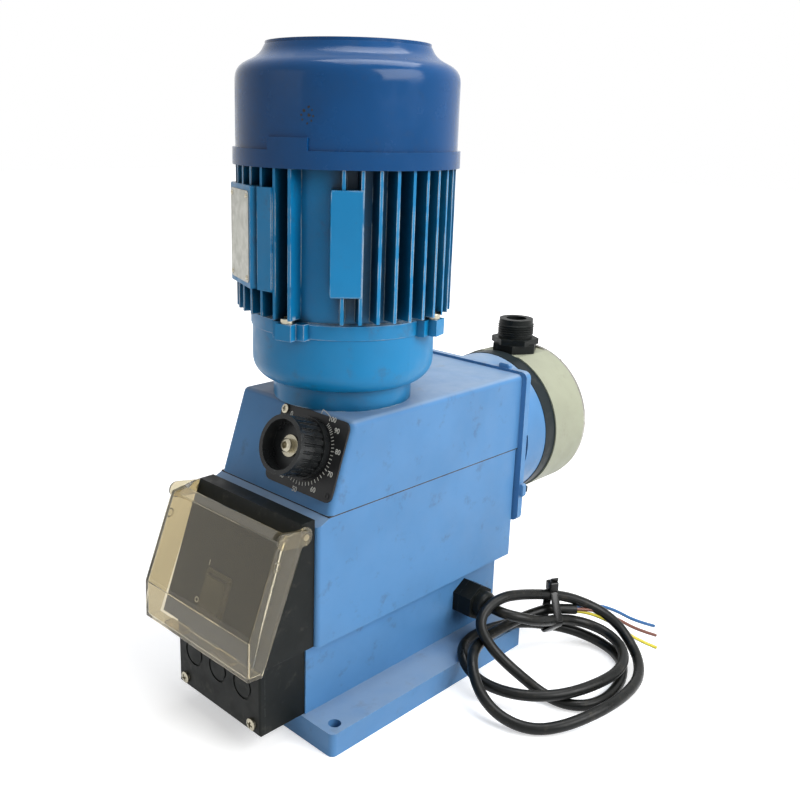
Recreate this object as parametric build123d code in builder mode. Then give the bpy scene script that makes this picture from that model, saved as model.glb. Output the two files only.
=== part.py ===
"""Motor-driven diaphragm metering pump, in millimetres.

The origin is the centre of the four foot bolts on the floor. +Z is up, -Y is the front with the
stroke knob and the control box, and +Y is the rear with the pump head.
"""

import math
import os

from build123d import *

os.makedirs("parts", exist_ok=True)

# ---------------------------------------------------------------- driving sizes
# General clearances
running_gap = 0.05  # radial gap of a running or sliding fit
body_gap = 0.3  # gap between neighbours that move against each other
fit_gap = 0.02  # gap round a shaft inside one assembly

# Foot and pedestal
foot_width = 142.0
foot_length = 196.0
foot_thickness = 16.0
foot_corner_r = 4.0
foot_hole_d = 8.4
foot_hole_side = 8.5  # centre of a hole from the long edge of the foot
foot_hole_end = 10.0
foot_hole_pitch_x = foot_width - 2 * foot_hole_side
foot_hole_pitch_y = foot_length - 2 * foot_hole_end
pedestal_setback = 5.0  # rear face behind the rear of the gearbox

# Gearbox housing
body_width = 106.0
pedestal_step = 10.0  # how far the body overhangs the pedestal at each side
pedestal_width = body_width - 2 * pedestal_step
body_front_y = -95.0
body_rear_y = 102.0
step_z = 67.0  # underside of the wide body, above the pedestal
seam_z = 151.0  # joint between housing and cover, and centre of shaft and rod
top_z = 206.0
body_wall = 5.0
sump_floor_z = 92.0
body_corner_r = 3.0
cover_edge_r = 4.0
seam_front_y = -86.0  # lower end of the slanted face
top_front_y = -67.0  # upper end of the slanted face
shoulder_drop = 4.0
seal_t = 0.8

# Motor
motor_y = -26.0
cowl_band_r = 70.0
cowl_step = 2.0  # how far the band stands out from the skirt of the cowl
cowl_r = cowl_band_r - cowl_step
fin_tip_r = cowl_r
fin_depth = 11.0
frame_r = fin_tip_r - fin_depth
frame_wall = 9.0
stator_r = frame_r - frame_wall
shield_proud = 1.5
shield_r = frame_r + shield_proud
adapter_step = 13.5
adapter_r = shield_r - adapter_step
adapter_h = 12.5
adapter_spigot_r = 30.0
adapter_bore_r = 13.0
shield_bore_r = 9.0
shield_round_r = 14.0
shield_hub_r = 24.0
shield_top_z = 263.0
shield_wall = 5.0
shield_floor = 2.0  # added to the wall at the bottom
lug_proud = 1.0  # beyond the fins
lug_reach_r = fin_tip_r + lug_proud
lug_width = 22.0
lug_h = 10.0
lug_angle = -75.0
lug_screw_edge = 5.0  # centre of a screw from the end of its lug
lug_screw_at = lug_reach_r - lug_screw_edge
lug_screw_r = 2.5
lug_screw_head_r = 4.2
lug_screw_head_h = 4.0
fin_bottom_z = 265.0
stator_depth = 18.0
stator_bore_r = stator_r - stator_depth
stator_bottom_z = 275.0
winding_overhang = 11.0
air_gap = 0.5
stator_slots = 12
slot_r = 3.0
fin_root_t = 3.0
fin_tip_t = 2.0
fin_pitch_deg = 9.0
bare_angles = (-63.0, -54.0)  # no fins here
pad_angle = -42.0
pad_bottom_z = 281.0
pad_width = 15.0
side_pad_angle = -87.0
side_pad_width = 12.0
plate_pad_angle = -112.0
plate_pad_width = 40.0
plate_pad_drop = 3.5  # below the tips of the fins
plate_pad_r = fin_tip_r - plate_pad_drop
pad_root = 5.0  # how deep a pad runs into the frame
cowl_top_z = 423.0
cowl_h = 71.0
cowl_band_bottom_z = cowl_top_z - cowl_h
stator_gap = 12.0  # above the stator's iron
stator_top_z = cowl_band_bottom_z - stator_gap
pad_gap = 11.0
pad_top_z = cowl_band_bottom_z - pad_gap
cowl_band_h = 10.0
cowl_shoulder_drop = 21.0
cowl_shoulder_z = cowl_top_z - cowl_shoulder_drop
cowl_lip_step = 18.0
cowl_lip_r = cowl_r - cowl_lip_step
cowl_lip_h = 3.0
cowl_t = 1.6
cowl_tab_h = 7.0
cowl_tab_angle = -73.0
cowl_tab_w = 26.0
cowl_lip_w = 4.0
cowl_waist_step = 10.5
cowl_waist_r = cowl_r - cowl_waist_step
cowl_waist_drop = 14.0
cowl_waist_z = cowl_top_z - cowl_waist_drop
grille_slot_w = 5.0
grille_rib_w = 4.0
grille_hub_r = 11.0
grille_rings = 4
grille_ribs = 3
shaft_r = 7.0
worm_shaft_r = 5.0
rear_shield_h = 8.0
bearing_r = 17.5
bearing_w = 11.0
lower_bearing_z = 238.0
fan_room = 8.4  # between the blades and the inside of the cowl
fan_r = cowl_r - cowl_t - fan_room
fan_drop = 51.0
fan_bottom_z = cowl_top_z - fan_drop
fan_h = 26.0
fan_hub_r = 14.0
fan_blades = 8
fan_blade_t = 2.0

# Worm drive
worm_teeth = 24
tooth_module = 2.25
worm_pitch_r = 10.0
worm_thread_turns = 4
tooth_t = 2.2  # thickness of a tooth and of the thread at the pitch line
wheel_width = 8.0
gear_shaft_r = 5.0
wheel_hub_r = 10.0
wheel_hub_w = 17.0
gear_shaft_end = body_width / 2 - body_wall - body_gap
gear_bearing_r = 13.0
gear_bearing_w = 8.0
cam_offset = 4.0
cam_r = 9.5
cam_roller_r = 14.0
cam_width = 10.0
cam_x = -15.0

# Rod, spring and diaphragm
stroke = 8.0
rod_r = 7.0
crosshead_t = 9.0
crosshead_h = 18.0
stop_arm_w = 9.0
spring_r = 13.0
spring_wire = 3.0
spring_turns = 6
diaphragm_r = 44.5
diaphragm_t = 2.5
core_r = 20.0
core_t = 7.0

# Lantern and liquid end
head_r = 57.0
flange_size = 2 * head_r
flange_t = 5.0
flange_corner_r = 5.0
lantern_r = 55.5
lantern_rear_y = 134.0
lantern_wall = 12.0
lantern_floor_t = 7.0
spigot_r = 24.0
window_w = 4.5
window_h = 26.0
window_z = 146.0
window_depth = 8.0
ring_r = 56.0
ring_t = 12.0
ring_bore_r = 38.0
head_t = 38.0
chamber_r = 36.0
chamber_depth = 12.0
end_plate_r = 56.5
end_plate_t = 3.0
bolt_pcd = 98.0
bolt_count = 6
bolt_r = 3.0
bolt_head_af = 10.0
bolt_head_h = 4.0
bolt_hole_r = 3.3
bolt_grip = 10.0
port_boss_z = 54.0  # seat of the connectors above and below the centre of the head
socket_r = 13.0
socket_depth = 29.0
thread_r = 13.2
thread_len = 15.0
connector_hex_af = 32.0
connector_hex_h = 6.5
connector_collar_h = 4.5
connector_bore_r = 8.0
seat_t = 5.0
seat_bore_r = 4.0
ball_r = 5.5
ball_lift = 3.0
cage_gap = 1.0
port_bore_r = 4.5
bush_r = 10.0

# Stroke knob on the slanted face
knob_side = 32.0  # centre of the knob from the side of the body
knob_x = body_width / 2 - knob_side
knob_drop = 24.0  # centre of the knob below the upper edge of the slanted face
knob_r = 18.3
knob_skirt_r = 19.6
knob_skirt_h = 4.0
knob_h = 24.0
knob_rim = 2.4  # plain ring in front of the flutes
knob_wall = 2.8
knob_cup_r = knob_r - knob_wall
knob_cup_depth = 9.0
knob_flutes = 24
flute_r = 1.1
knob_web = 5.0
knob_screw_r = 2.0
knob_screw_head_r = 3.0
knob_screw_head_h = 3.0
knob_washer_r = 5.5
knob_washer_t = 1.0
spindle_r = 4.0
spindle_travel = 6.0
spindle_tip_y = -14.0
spindle_guide_len = 12.0
scale_width = 61.0
scale_height = 50.0
scale_t = 1.2
scale_corner_r = 5.0
scale_drop = 26.0  # centre of the plate below the upper edge of the slanted face
scale_screw_inset = 4.0
scale_screw_r = 1.5
scale_screw_head_r = 2.6
scale_screw_head_h = 1.4

# Control box, clear cover and switch
box_inset = 3.0
box_width = body_width - 2 * box_inset
box_wall = 3.0
box_top_depth = 10.5
box_bottom_depth = 41.0
cover_width = body_width
cover_wall = 2.2
cover_top_rear_y = -110.0
cover_top_rear_z = 149.5
cover_plate_rear_y = -114.0
cover_top_front_y = -126.0
cover_top_front_z = 147.0
cover_belly_y = -148.0
cover_belly_z = 91.0
cover_low_front_y = -148.5
cover_low_front_z = 66.0
cover_low_rear_y = -137.5
cover_low_rear_z = 65.0
pivot_y = -105.0
pivot_z = 144.0
pivot_r = 2.0
arm_r = 6.0
switch_x = -5.0
switch_drop = 63.0
switch_width = 24.0
switch_height = 28.0
switch_rim = 1.6
switch_inner_w = 18.0
switch_inner_h = 22.4
switch_depth = 14.0
rocker_room = 0.9
rocker_depth = 4.5
rocker_rise = 3.5
rocker_r = 28.0
rocker_dish = 1.6
board_inset = 10.0
board_w = box_width - 2 * board_inset
board_h = 60.0
board_t = 1.6
board_standoff = 3.0
relay_w = 14.0
terminal_inset = 8.0
terminal_width = box_width - 2 * terminal_inset
terminal_depth = 36.0
lid_t = 4.0
knockout_r = 9.0
knockout_groove = 0.8
knockout_pitch = 25.0
knockout_z = 44.0
lid_screw_edge = 7.5
lid_screw_x = terminal_width / 2 - lid_screw_edge
lid_screw_z = 22.0
lid_post_r = 4.0
lid_screw_r = 1.8
lid_screw_len = 10.0
lid_screw_head_r = 3.4
lid_screw_head_h = 2.0
block_w = 50.0
block_size = 12.0
block_ways = 5

# Cable and gland
gland_y = 60.5
gland_z = 43.0
gland_af = 24.0
gland_hex_h = 5.0
nut_h = 11.0
dome_h = 8.0
gland_thread_r = 10.0
gland_nose_r = 8.5
nose_gap = 2.0
cable_d = 7.5
core_d = 2.4
coil_x = 113.5
coil_y = 75.0
coil_half_x = 56.0
coil_half_y = 75.0
coil_band = 30.0
coil_low_z = 14.0
coil_high_z = 46.0
coil_peak_x = 88.0
coil_shelf_z = 27.0
tie_w = 4.6
tie_t = 1.4
tie_angle = 62.0  # way of the cables through the tie
tie_x = 87.5
tie_y = 110.0
tie_low_z = 12.8
tie_high_z = 43.6
tie_span = 14.0
tie_r = 5.0
tie_head = 7.0

# ---------------------------------------------------------------- places worked out from the sizes
head_z = seam_z
flange_rear_y = body_rear_y + flange_t
ring_rear_y = lantern_rear_y + ring_t
head_rear_y = ring_rear_y + head_t
head_mid_y = (ring_rear_y + head_rear_y) / 2
end_plate_y = head_rear_y + end_plate_t
adapter_top_z = top_z + adapter_h

wheel_pitch_r = worm_teeth * tooth_module / 2
wheel_y = motor_y + worm_pitch_r + wheel_pitch_r
thread_pitch = math.pi * tooth_module
addendum = 0.9 * tooth_module
dedendum = 1.1 * tooth_module

motor_section = Plane(origin=(0, motor_y, 0), x_dir=(1, 0, 0), z_dir=(0, -1, 0))
motor_axis = Axis((0, motor_y, 0), (0, 0, 1))
rod_section = Plane(origin=(0, 0, head_z), x_dir=(0, 1, 0), z_dir=(1, 0, 0))
rod_axis = Axis((0, 0, head_z), (0, 1, 0))
wheel_section = Plane(origin=(0, wheel_y, head_z), x_dir=(1, 0, 0), z_dir=(0, -1, 0))
wheel_axis = Axis((0, wheel_y, head_z), (1, 0, 0))
port_section = Plane(origin=(0, head_mid_y, 0), x_dir=(1, 0, 0), z_dir=(0, -1, 0))
port_axis = Axis((0, head_mid_y, head_z), (0, 0, 1))
gland_section = Plane(origin=(0, gland_y, gland_z), x_dir=(1, 0, 0), z_dir=(0, -1, 0))
gland_axis = Axis((0, gland_y, gland_z), (1, 0, 0))

# The slanted face leans back; its plane sits at the centre of the knob and faces outwards.
slant_run = top_front_y - seam_front_y
slant_rise = top_z - seam_z
slant_len = math.hypot(slant_run, slant_rise)
slant_out = Vector(0, -slant_rise, slant_run) * (1 / slant_len)
slant_down = Vector(0, -slant_run, -slant_rise) * (1 / slant_len)
knob_origin = Vector(knob_x, top_front_y, top_z) + slant_down * knob_drop
knob_plane = Plane(origin=knob_origin, x_dir=(1, 0, 0), z_dir=slant_out)
knob_section = Plane(origin=knob_origin, x_dir=slant_out, z_dir=(1, 0, 0))
knob_axis = Axis(knob_origin, slant_out)

scale_shift = knob_drop - scale_drop
scale_screw_x = scale_width / 2 - scale_screw_inset
scale_screw_y = scale_height / 2 - scale_screw_inset
scale_screw_places = (
    (-scale_screw_x, scale_shift + scale_screw_y),
    (scale_screw_x, scale_shift - scale_screw_y),
)
spindle_len = (spindle_tip_y - knob_origin.Y) / -slant_out.Y

# The front of the control box leans back in the same way.
box_run = box_bottom_depth - box_top_depth
box_rise = seam_z - step_z
box_slope_len = math.hypot(box_run, box_rise)
box_out = Vector(0, -box_rise, box_run) * (1 / box_slope_len)
box_down = Vector(0, -box_run, -box_rise) * (1 / box_slope_len)
box_edge = Vector(0, body_front_y - box_top_depth, seam_z)
switch_origin = Vector(switch_x, 0, 0) + box_edge + box_down * switch_drop
switch_plane = Plane(origin=switch_origin, x_dir=(1, 0, 0), z_dir=box_out)


def band(x_low, x_high, y_low, y_high):
    """A rectangle between four coordinates of the sketch's plane."""
    with Locations(((x_low + x_high) / 2, (y_low + y_high) / 2)):
        Rectangle(x_high - x_low, y_high - y_low)


def outline(*points):
    """A closed polygon through the points, as a face of the sketch."""
    Polygon(*points, align=None)


def rear_plane(y, z=0.0):
    """A plane at y that faces the rear, with Z up."""
    return Plane(origin=(0, y, z), x_dir=(-1, 0, 0), z_dir=(0, 1, 0))


def motor_plane(z):
    """A horizontal plane centred on the motor's axis."""
    return Plane(origin=(0, motor_y, z))


def radial_plane(angle, z):
    """A horizontal plane on the motor's axis, with X pointing out at the angle."""
    turn = math.radians(angle)
    return Plane(origin=(0, motor_y, z), x_dir=(math.cos(turn), math.sin(turn), 0), z_dir=(0, 0, 1))


# ---------------------------------------------------------------- gearbox
with BuildPart() as gearbox_housing:
    with BuildSketch(Plane.YZ.offset(-body_width / 2)):
        outline(
            (body_front_y, step_z),
            (body_rear_y, step_z),
            (body_rear_y, seam_z - seal_t),
            (seam_front_y, seam_z - seal_t),
            (body_front_y, seam_z - seal_t - shoulder_drop),
        )
    extrude(amount=body_width)
    fillet(gearbox_housing.edges().filter_by(Axis.Z), body_corner_r)
    with BuildSketch(Plane.XY.offset(foot_thickness)):
        band(
            -pedestal_width / 2,
            pedestal_width / 2,
            body_front_y,
            body_rear_y - pedestal_setback,
        )
    extrude(amount=step_z - foot_thickness)
    with BuildSketch(Plane.XY):
        RectangleRounded(foot_width, foot_length, foot_corner_r)
    extrude(amount=foot_thickness)
    with BuildSketch(Plane.XY.offset(foot_thickness)):
        with GridLocations(foot_hole_pitch_x, foot_hole_pitch_y, 2, 2):
            Circle(foot_hole_d / 2)
    extrude(amount=-foot_thickness, mode=Mode.SUBTRACT)
    # The gear room, open at the joint with the cover
    with BuildSketch(Plane.XY.offset(sump_floor_z)):
        band(
            -body_width / 2 + body_wall,
            body_width / 2 - body_wall,
            seam_front_y + body_wall,
            body_rear_y - body_wall,
        )
    extrude(amount=seam_z - sump_floor_z, mode=Mode.SUBTRACT)
    # Bearing blocks for the gear shaft, split at the joint
    for side in (-1, 1):
        wall_x = side * (body_width / 2 - body_wall)
        with BuildSketch(Plane.YZ.offset(wall_x)):
            band(
                wheel_y - gear_bearing_r - body_wall,
                wheel_y + gear_bearing_r + body_wall,
                sump_floor_z,
                seam_z - seal_t,
            )
        extrude(amount=-side * (gear_bearing_w + body_wall))
    with BuildSketch(wheel_section):
        band(
            -body_width / 2 + body_wall,
            body_width / 2 - body_wall,
            0,
            gear_bearing_r,
        )
    revolve(axis=wheel_axis, mode=Mode.SUBTRACT)
    # Half of the opening for the lantern's spigot
    with BuildSketch(rear_plane(body_rear_y - body_wall, head_z)):
        Circle(spigot_r + fit_gap)
    extrude(amount=body_wall, mode=Mode.SUBTRACT)
    # Threaded hole for the cable gland
    with BuildSketch(Plane(origin=(pedestal_width / 2, gland_y, gland_z), z_dir=(1, 0, 0))):
        Circle(gland_thread_r + fit_gap)
    extrude(amount=-gland_hex_h * 3, mode=Mode.SUBTRACT)
gearbox_housing.part.label = "gearbox_housing"
export_step(gearbox_housing.part, "parts/gearbox_housing.step")

with BuildPart() as cover_seal:
    with BuildSketch(Plane.XY.offset(seam_z - seal_t)):
        band(-body_width / 2, body_width / 2, seam_front_y, body_rear_y)
        band_inset = body_wall
        with Locations((0, (seam_front_y + body_rear_y) / 2)):
            Rectangle(
                body_width - 2 * band_inset,
                body_rear_y - seam_front_y - 2 * band_inset,
                mode=Mode.SUBTRACT,
            )
        with Locations((0, body_rear_y - body_wall / 2)):
            Rectangle(2 * (spigot_r + fit_gap), 2 * body_wall, mode=Mode.SUBTRACT)
    extrude(amount=seal_t)
cover_seal.part.label = "cover_seal"
export_step(cover_seal.part, "parts/cover_seal.step")

with BuildPart() as top_cover:
    with BuildSketch(Plane.YZ.offset(-body_width / 2)):
        outline(
            (seam_front_y, seam_z),
            (body_rear_y, seam_z),
            (body_rear_y, top_z),
            (top_front_y, top_z),
        )
    extrude(amount=body_width)
    top_edges = top_cover.faces().sort_by(Axis.Z)[-1].edges()
    top_edges = top_edges.filter_by(lambda e: e.center().Y < body_rear_y - 1)
    side_edges = top_cover.faces().sort_by(Axis.Y)[0].edges()
    side_edges = side_edges.filter_by(lambda e: abs(e.tangent_at(0.5).X) < 0.5)
    fillet(top_edges + side_edges, cover_edge_r)
    # Room above the gears, walls all round
    wall_run = body_wall * slant_len / slant_rise
    room_h = slant_rise - body_wall
    with BuildSketch(Plane.YZ.offset(-body_width / 2 + body_wall)):
        outline(
            (seam_front_y + wall_run, seam_z),
            (body_rear_y - body_wall, seam_z),
            (body_rear_y - body_wall, seam_z + room_h),
            (seam_front_y + wall_run + slant_run * room_h / slant_rise, seam_z + room_h),
        )
    extrude(amount=body_width - 2 * body_wall, mode=Mode.SUBTRACT)
    for side in (-1, 1):
        wall_x = side * (body_width / 2 - body_wall)
        with BuildSketch(Plane.YZ.offset(wall_x)):
            band(
                wheel_y - gear_bearing_r - body_wall,
                wheel_y + gear_bearing_r + body_wall,
                seam_z,
                seam_z + gear_bearing_r + body_wall,
            )
        extrude(amount=-side * (gear_bearing_w + body_wall))
    with BuildSketch(wheel_section):
        band(-body_width / 2 + body_wall, body_width / 2 - body_wall, 0, gear_bearing_r)
    revolve(axis=wheel_axis, mode=Mode.SUBTRACT)
    with BuildSketch(rear_plane(body_rear_y - body_wall, head_z)):
        Circle(spigot_r + fit_gap)
    extrude(amount=body_wall, mode=Mode.SUBTRACT)
    with BuildSketch(motor_plane(top_z)):
        Circle(adapter_spigot_r + fit_gap)
    extrude(amount=-body_wall, mode=Mode.SUBTRACT)
    # Guide for the stop spindle, inside the slanted wall
    with BuildSketch(knob_plane.offset(-body_wall)):
        Circle(spindle_r + body_wall)
    extrude(amount=-spindle_guide_len)
    with BuildSketch(knob_plane):
        Circle(spindle_r + running_gap)
    extrude(amount=-body_wall - spindle_guide_len, mode=Mode.SUBTRACT)
    with BuildSketch(knob_plane):
        with Locations(*scale_screw_places):
            Circle(scale_screw_r + fit_gap)
    extrude(amount=-body_wall, mode=Mode.SUBTRACT)
top_cover.part.label = "top_cover"
export_step(top_cover.part, "parts/top_cover.step")

# ---------------------------------------------------------------- worm drive
with BuildPart() as worm:
    core_r_worm = worm_pitch_r - dedendum
    worm_half = (worm_thread_turns + 1) * thread_pitch / 2
    with BuildSketch(motor_section):
        band(worm_shaft_r + fit_gap, core_r_worm, head_z - worm_half, head_z + worm_half)
    revolve(axis=motor_axis)
    # The thread starts so that a gap, not a crest, faces the wheel tooth at the pitch point.
    thread_start_z = head_z - (worm_thread_turns - 0.25) * thread_pitch / 2 + 0.125 * thread_pitch
    flank = math.tan(math.radians(20))
    with BuildSketch(motor_section):
        outline(
            (core_r_worm - fit_gap, thread_start_z - tooth_t / 2 - dedendum * flank),
            (core_r_worm - fit_gap, thread_start_z + tooth_t / 2 + dedendum * flank),
            (worm_pitch_r + addendum, thread_start_z + tooth_t / 2 - addendum * flank),
            (worm_pitch_r + addendum, thread_start_z - tooth_t / 2 + addendum * flank),
        )
    with BuildLine():
        Helix(
            thread_pitch,
            worm_thread_turns * thread_pitch,
            worm_pitch_r,
            center=(0, motor_y, thread_start_z),
        )
    sweep(is_frenet=True)
worm.part.label = "worm"
export_step(worm.part, "parts/worm.step")

with BuildPart() as worm_wheel:
    with BuildSketch(wheel_section):
        band(-wheel_width / 2, wheel_width / 2, gear_shaft_r + fit_gap, wheel_pitch_r - dedendum)
        band(-wheel_hub_w / 2, wheel_hub_w / 2, gear_shaft_r + fit_gap, wheel_hub_r)
    revolve(axis=wheel_axis)
    with BuildSketch(Plane(origin=(-wheel_width / 2, wheel_y, head_z), x_dir=(0, 1, 0), z_dir=(1, 0, 0))):
        with PolarLocations(0, worm_teeth, start_angle=180):
            outline(
                (wheel_pitch_r - dedendum - 1, -tooth_t / 2 - dedendum * flank),
                (wheel_pitch_r + addendum, -tooth_t / 2 + addendum * flank),
                (wheel_pitch_r + addendum, tooth_t / 2 - addendum * flank),
                (wheel_pitch_r - dedendum - 1, tooth_t / 2 + dedendum * flank),
            )
    extrude(amount=wheel_width)
worm_wheel.part.label = "worm_wheel"
export_step(worm_wheel.part, "parts/worm_wheel.step")

with BuildPart() as gear_shaft:
    with BuildSketch(wheel_section):
        band(-gear_shaft_end, gear_shaft_end, 0, gear_shaft_r)
    revolve(axis=wheel_axis)
    with BuildSketch(Plane.YZ.offset(cam_x - cam_width / 2)):
        with Locations((wheel_y + cam_offset, head_z)):
            Circle(cam_r)
    extrude(amount=cam_width)
gear_shaft.part.label = "gear_shaft"
export_step(gear_shaft.part, "parts/gear_shaft.step")

with BuildPart() as cam_roller:
    with BuildSketch(Plane.YZ.offset(cam_x - cam_width / 2)):
        with Locations((wheel_y + cam_offset, head_z)):
            Circle(cam_roller_r)
            Circle(cam_r + running_gap, mode=Mode.SUBTRACT)
    extrude(amount=cam_width)
cam_roller.part.label = "cam_roller"
export_step(cam_roller.part, "parts/cam_roller.step")

with BuildPart() as gear_shaft_bearings:
    for side in (-1, 1):
        inner_x = side * (body_width / 2 - body_wall - gear_bearing_w)
        outer_x = side * (body_width / 2 - body_wall)
        with BuildSketch(wheel_section):
            band(
                min(inner_x, outer_x),
                max(inner_x, outer_x),
                gear_shaft_r + running_gap,
                gear_bearing_r - fit_gap,
            )
        revolve(axis=wheel_axis)
gear_shaft_bearings.part.label = "gear_shaft_bearings"
export_step(gear_shaft_bearings.part, "parts/gear_shaft_bearings.step")

# ---------------------------------------------------------------- rod, crosshead and stroke stop
contact_y = wheel_y + cam_offset + cam_roller_r + body_gap
crossbar_y = wheel_y + wheel_pitch_r + addendum + 1
crossbar_rear_y = crossbar_y + crosshead_t
arm_low_z = head_z + gear_shaft_r + 1
arm_high_z = arm_low_z + stop_arm_w + 1
arm_reach = spindle_len + spindle_travel + body_gap
arm_low_y = knob_origin.Y + (arm_reach + slant_out.Z * (arm_low_z - knob_origin.Z)) / -slant_out.Y
arm_high_y = knob_origin.Y + (arm_reach + slant_out.Z * (arm_high_z - knob_origin.Z)) / -slant_out.Y
core_front_y = ring_rear_y - core_t

with BuildPart() as push_rod:
    with BuildSketch(Plane.XY.offset(head_z - crosshead_h / 2)):
        band(cam_x - cam_width / 2, knob_x + stop_arm_w / 2, crossbar_y, crossbar_rear_y)
        band(cam_x - cam_width / 2, cam_x + cam_width / 2, contact_y, crossbar_rear_y)
    extrude(amount=crosshead_h)
    with BuildSketch(Plane.YZ.offset(knob_x - stop_arm_w / 2)):
        outline(
            (crossbar_rear_y, head_z),
            (crossbar_rear_y, arm_high_z),
            (arm_high_y, arm_high_z),
            (arm_low_y, arm_low_z),
            (crossbar_y, arm_low_z),
            (crossbar_y, head_z),
        )
    extrude(amount=stop_arm_w)
    with BuildSketch(rear_plane(crossbar_rear_y, head_z)):
        Circle(rod_r)
    extrude(amount=core_front_y - crossbar_rear_y)
push_rod.part.label = "push_rod"
export_step(push_rod.part, "parts/push_rod.step")

with BuildPart() as return_spring:
    spring_len = body_rear_y - body_wall - crossbar_rear_y
    with BuildLine() as spring_wire_line:
        Helix(
            (spring_len - spring_wire) / spring_turns,
            spring_len - spring_wire,
            spring_r,
            center=(0, crossbar_rear_y + spring_wire / 2, head_z),
            direction=(0, 1, 0),
        )
    wire_start = spring_wire_line.line @ 0
    wire_way = spring_wire_line.line % 0
    with BuildSketch(Plane(origin=wire_start, x_dir=(0, 1, 0), z_dir=wire_way)):
        Circle(spring_wire / 2 - running_gap)
    sweep(is_frenet=True)
return_spring.part.label = "return_spring"
export_step(return_spring.part, "parts/return_spring.step")

with BuildPart() as rod_bush:
    with BuildSketch(rod_section):
        band(
            body_rear_y - body_wall,
            flange_rear_y + lantern_floor_t,
            rod_r + running_gap,
            bush_r - fit_gap,
        )
    revolve(axis=rod_axis)
rod_bush.part.label = "rod_bush"
export_step(rod_bush.part, "parts/rod_bush.step")

with BuildPart() as diaphragm_core:
    with BuildSketch(rod_section):
        band(core_front_y, ring_rear_y, 0, core_r)
    revolve(axis=rod_axis)
    fillet(diaphragm_core.edges().sort_by(Axis.Y)[0], core_t / 3)
diaphragm_core.part.label = "diaphragm_core"
export_step(diaphragm_core.part, "parts/diaphragm_core.step")

with BuildPart() as diaphragm:
    with BuildSketch(rod_section):
        band(ring_rear_y, ring_rear_y + diaphragm_t, 0, diaphragm_r - fit_gap)
    revolve(axis=rod_axis)
diaphragm.part.label = "diaphragm"
export_step(diaphragm.part, "parts/diaphragm.step")

# ---------------------------------------------------------------- lantern and liquid end
with BuildPart() as lantern_flange:
    with BuildSketch(rear_plane(body_rear_y, head_z)):
        RectangleRounded(flange_size, flange_size, flange_corner_r)
    extrude(amount=flange_t)
    with BuildSketch(rear_plane(flange_rear_y, head_z)):
        Circle(lantern_r)
    extrude(amount=lantern_rear_y - flange_rear_y)
    with BuildSketch(rear_plane(body_rear_y, head_z)):
        Circle(spigot_r)
    extrude(amount=-body_wall)
    with BuildSketch(rear_plane(flange_rear_y + lantern_floor_t, head_z)):
        Circle(lantern_r - lantern_wall)
    extrude(amount=lantern_rear_y - flange_rear_y, mode=Mode.SUBTRACT)
    with BuildSketch(rod_section):
        band(body_rear_y - body_wall, lantern_rear_y, 0, bush_r)
    revolve(axis=rod_axis, mode=Mode.SUBTRACT)
    # Vent slots beside the plate
    with BuildSketch(rear_plane(flange_rear_y, window_z)):
        for side in (-1, 1):
            with Locations((side * lantern_r, 0)):
                Rectangle(2 * window_depth, window_h)
    extrude(amount=window_w, mode=Mode.SUBTRACT)
    with BuildSketch(rear_plane(lantern_rear_y, head_z)):
        with PolarLocations(bolt_pcd / 2, bolt_count):
            Circle(bolt_r + fit_gap)
    extrude(amount=-bolt_grip, mode=Mode.SUBTRACT)
lantern_flange.part.label = "lantern_flange"
export_step(lantern_flange.part, "parts/lantern_flange.step")

with BuildPart() as backing_ring:
    with BuildSketch(rear_plane(lantern_rear_y, head_z)):
        Circle(ring_r)
        Circle(ring_bore_r, mode=Mode.SUBTRACT)
        with PolarLocations(bolt_pcd / 2, bolt_count):
            Circle(bolt_hole_r, mode=Mode.SUBTRACT)
    extrude(amount=ring_t)
backing_ring.part.label = "backing_ring"
export_step(backing_ring.part, "parts/backing_ring.step")

boss_low_z = head_z - port_boss_z
boss_high_z = head_z + port_boss_z
suction_seat_z = boss_low_z + socket_depth - seat_t
discharge_seat_z = boss_high_z - socket_depth
contact_drop = math.sqrt(ball_r**2 - seat_bore_r**2)
cage_r = ball_r + cage_gap
cage_h = contact_drop + ball_r + ball_lift + cage_gap / 2
suction_cage_z = suction_seat_z + seat_t
discharge_cage_z = discharge_seat_z + seat_t

with BuildPart() as pump_head:
    with BuildSketch(rear_plane(ring_rear_y, head_z)):
        Circle(head_r)
        with PolarLocations(bolt_pcd / 2, bolt_count):
            Circle(bolt_hole_r, mode=Mode.SUBTRACT)
    extrude(amount=head_t)
    with BuildSketch(rod_section):
        band(ring_rear_y, ring_rear_y + diaphragm_t, 0, diaphragm_r)
        band(ring_rear_y, ring_rear_y + chamber_depth, 0, chamber_r)
        band(ring_rear_y, head_mid_y, 0, port_bore_r)
    revolve(axis=rod_axis, mode=Mode.SUBTRACT)
    # Flats for the connectors
    for side in (-1, 1):
        with BuildSketch(Plane(origin=(0, head_mid_y, head_z + side * head_r))):
            Rectangle(2 * head_r, head_t)
        extrude(amount=-side * (head_r - port_boss_z), mode=Mode.SUBTRACT)
    # Valve sockets, the cage of the suction ball and the channel between them
    with BuildSketch(port_section):
        band(0, socket_r, boss_low_z, suction_cage_z)
        band(0, cage_r, suction_cage_z, suction_cage_z + cage_h)
        band(0, port_bore_r, suction_cage_z, discharge_seat_z)
        band(0, socket_r, discharge_seat_z, boss_high_z)
    revolve(axis=port_axis, mode=Mode.SUBTRACT)
pump_head.part.label = "pump_head"
export_step(pump_head.part, "parts/pump_head.step")

with BuildPart() as head_end_plate:
    with BuildSketch(rear_plane(head_rear_y, head_z)):
        Circle(end_plate_r)
        with PolarLocations(bolt_pcd / 2, bolt_count):
            Circle(bolt_hole_r, mode=Mode.SUBTRACT)
    extrude(amount=end_plate_t)
head_end_plate.part.label = "head_end_plate"
export_step(head_end_plate.part, "parts/head_end_plate.step")

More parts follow.
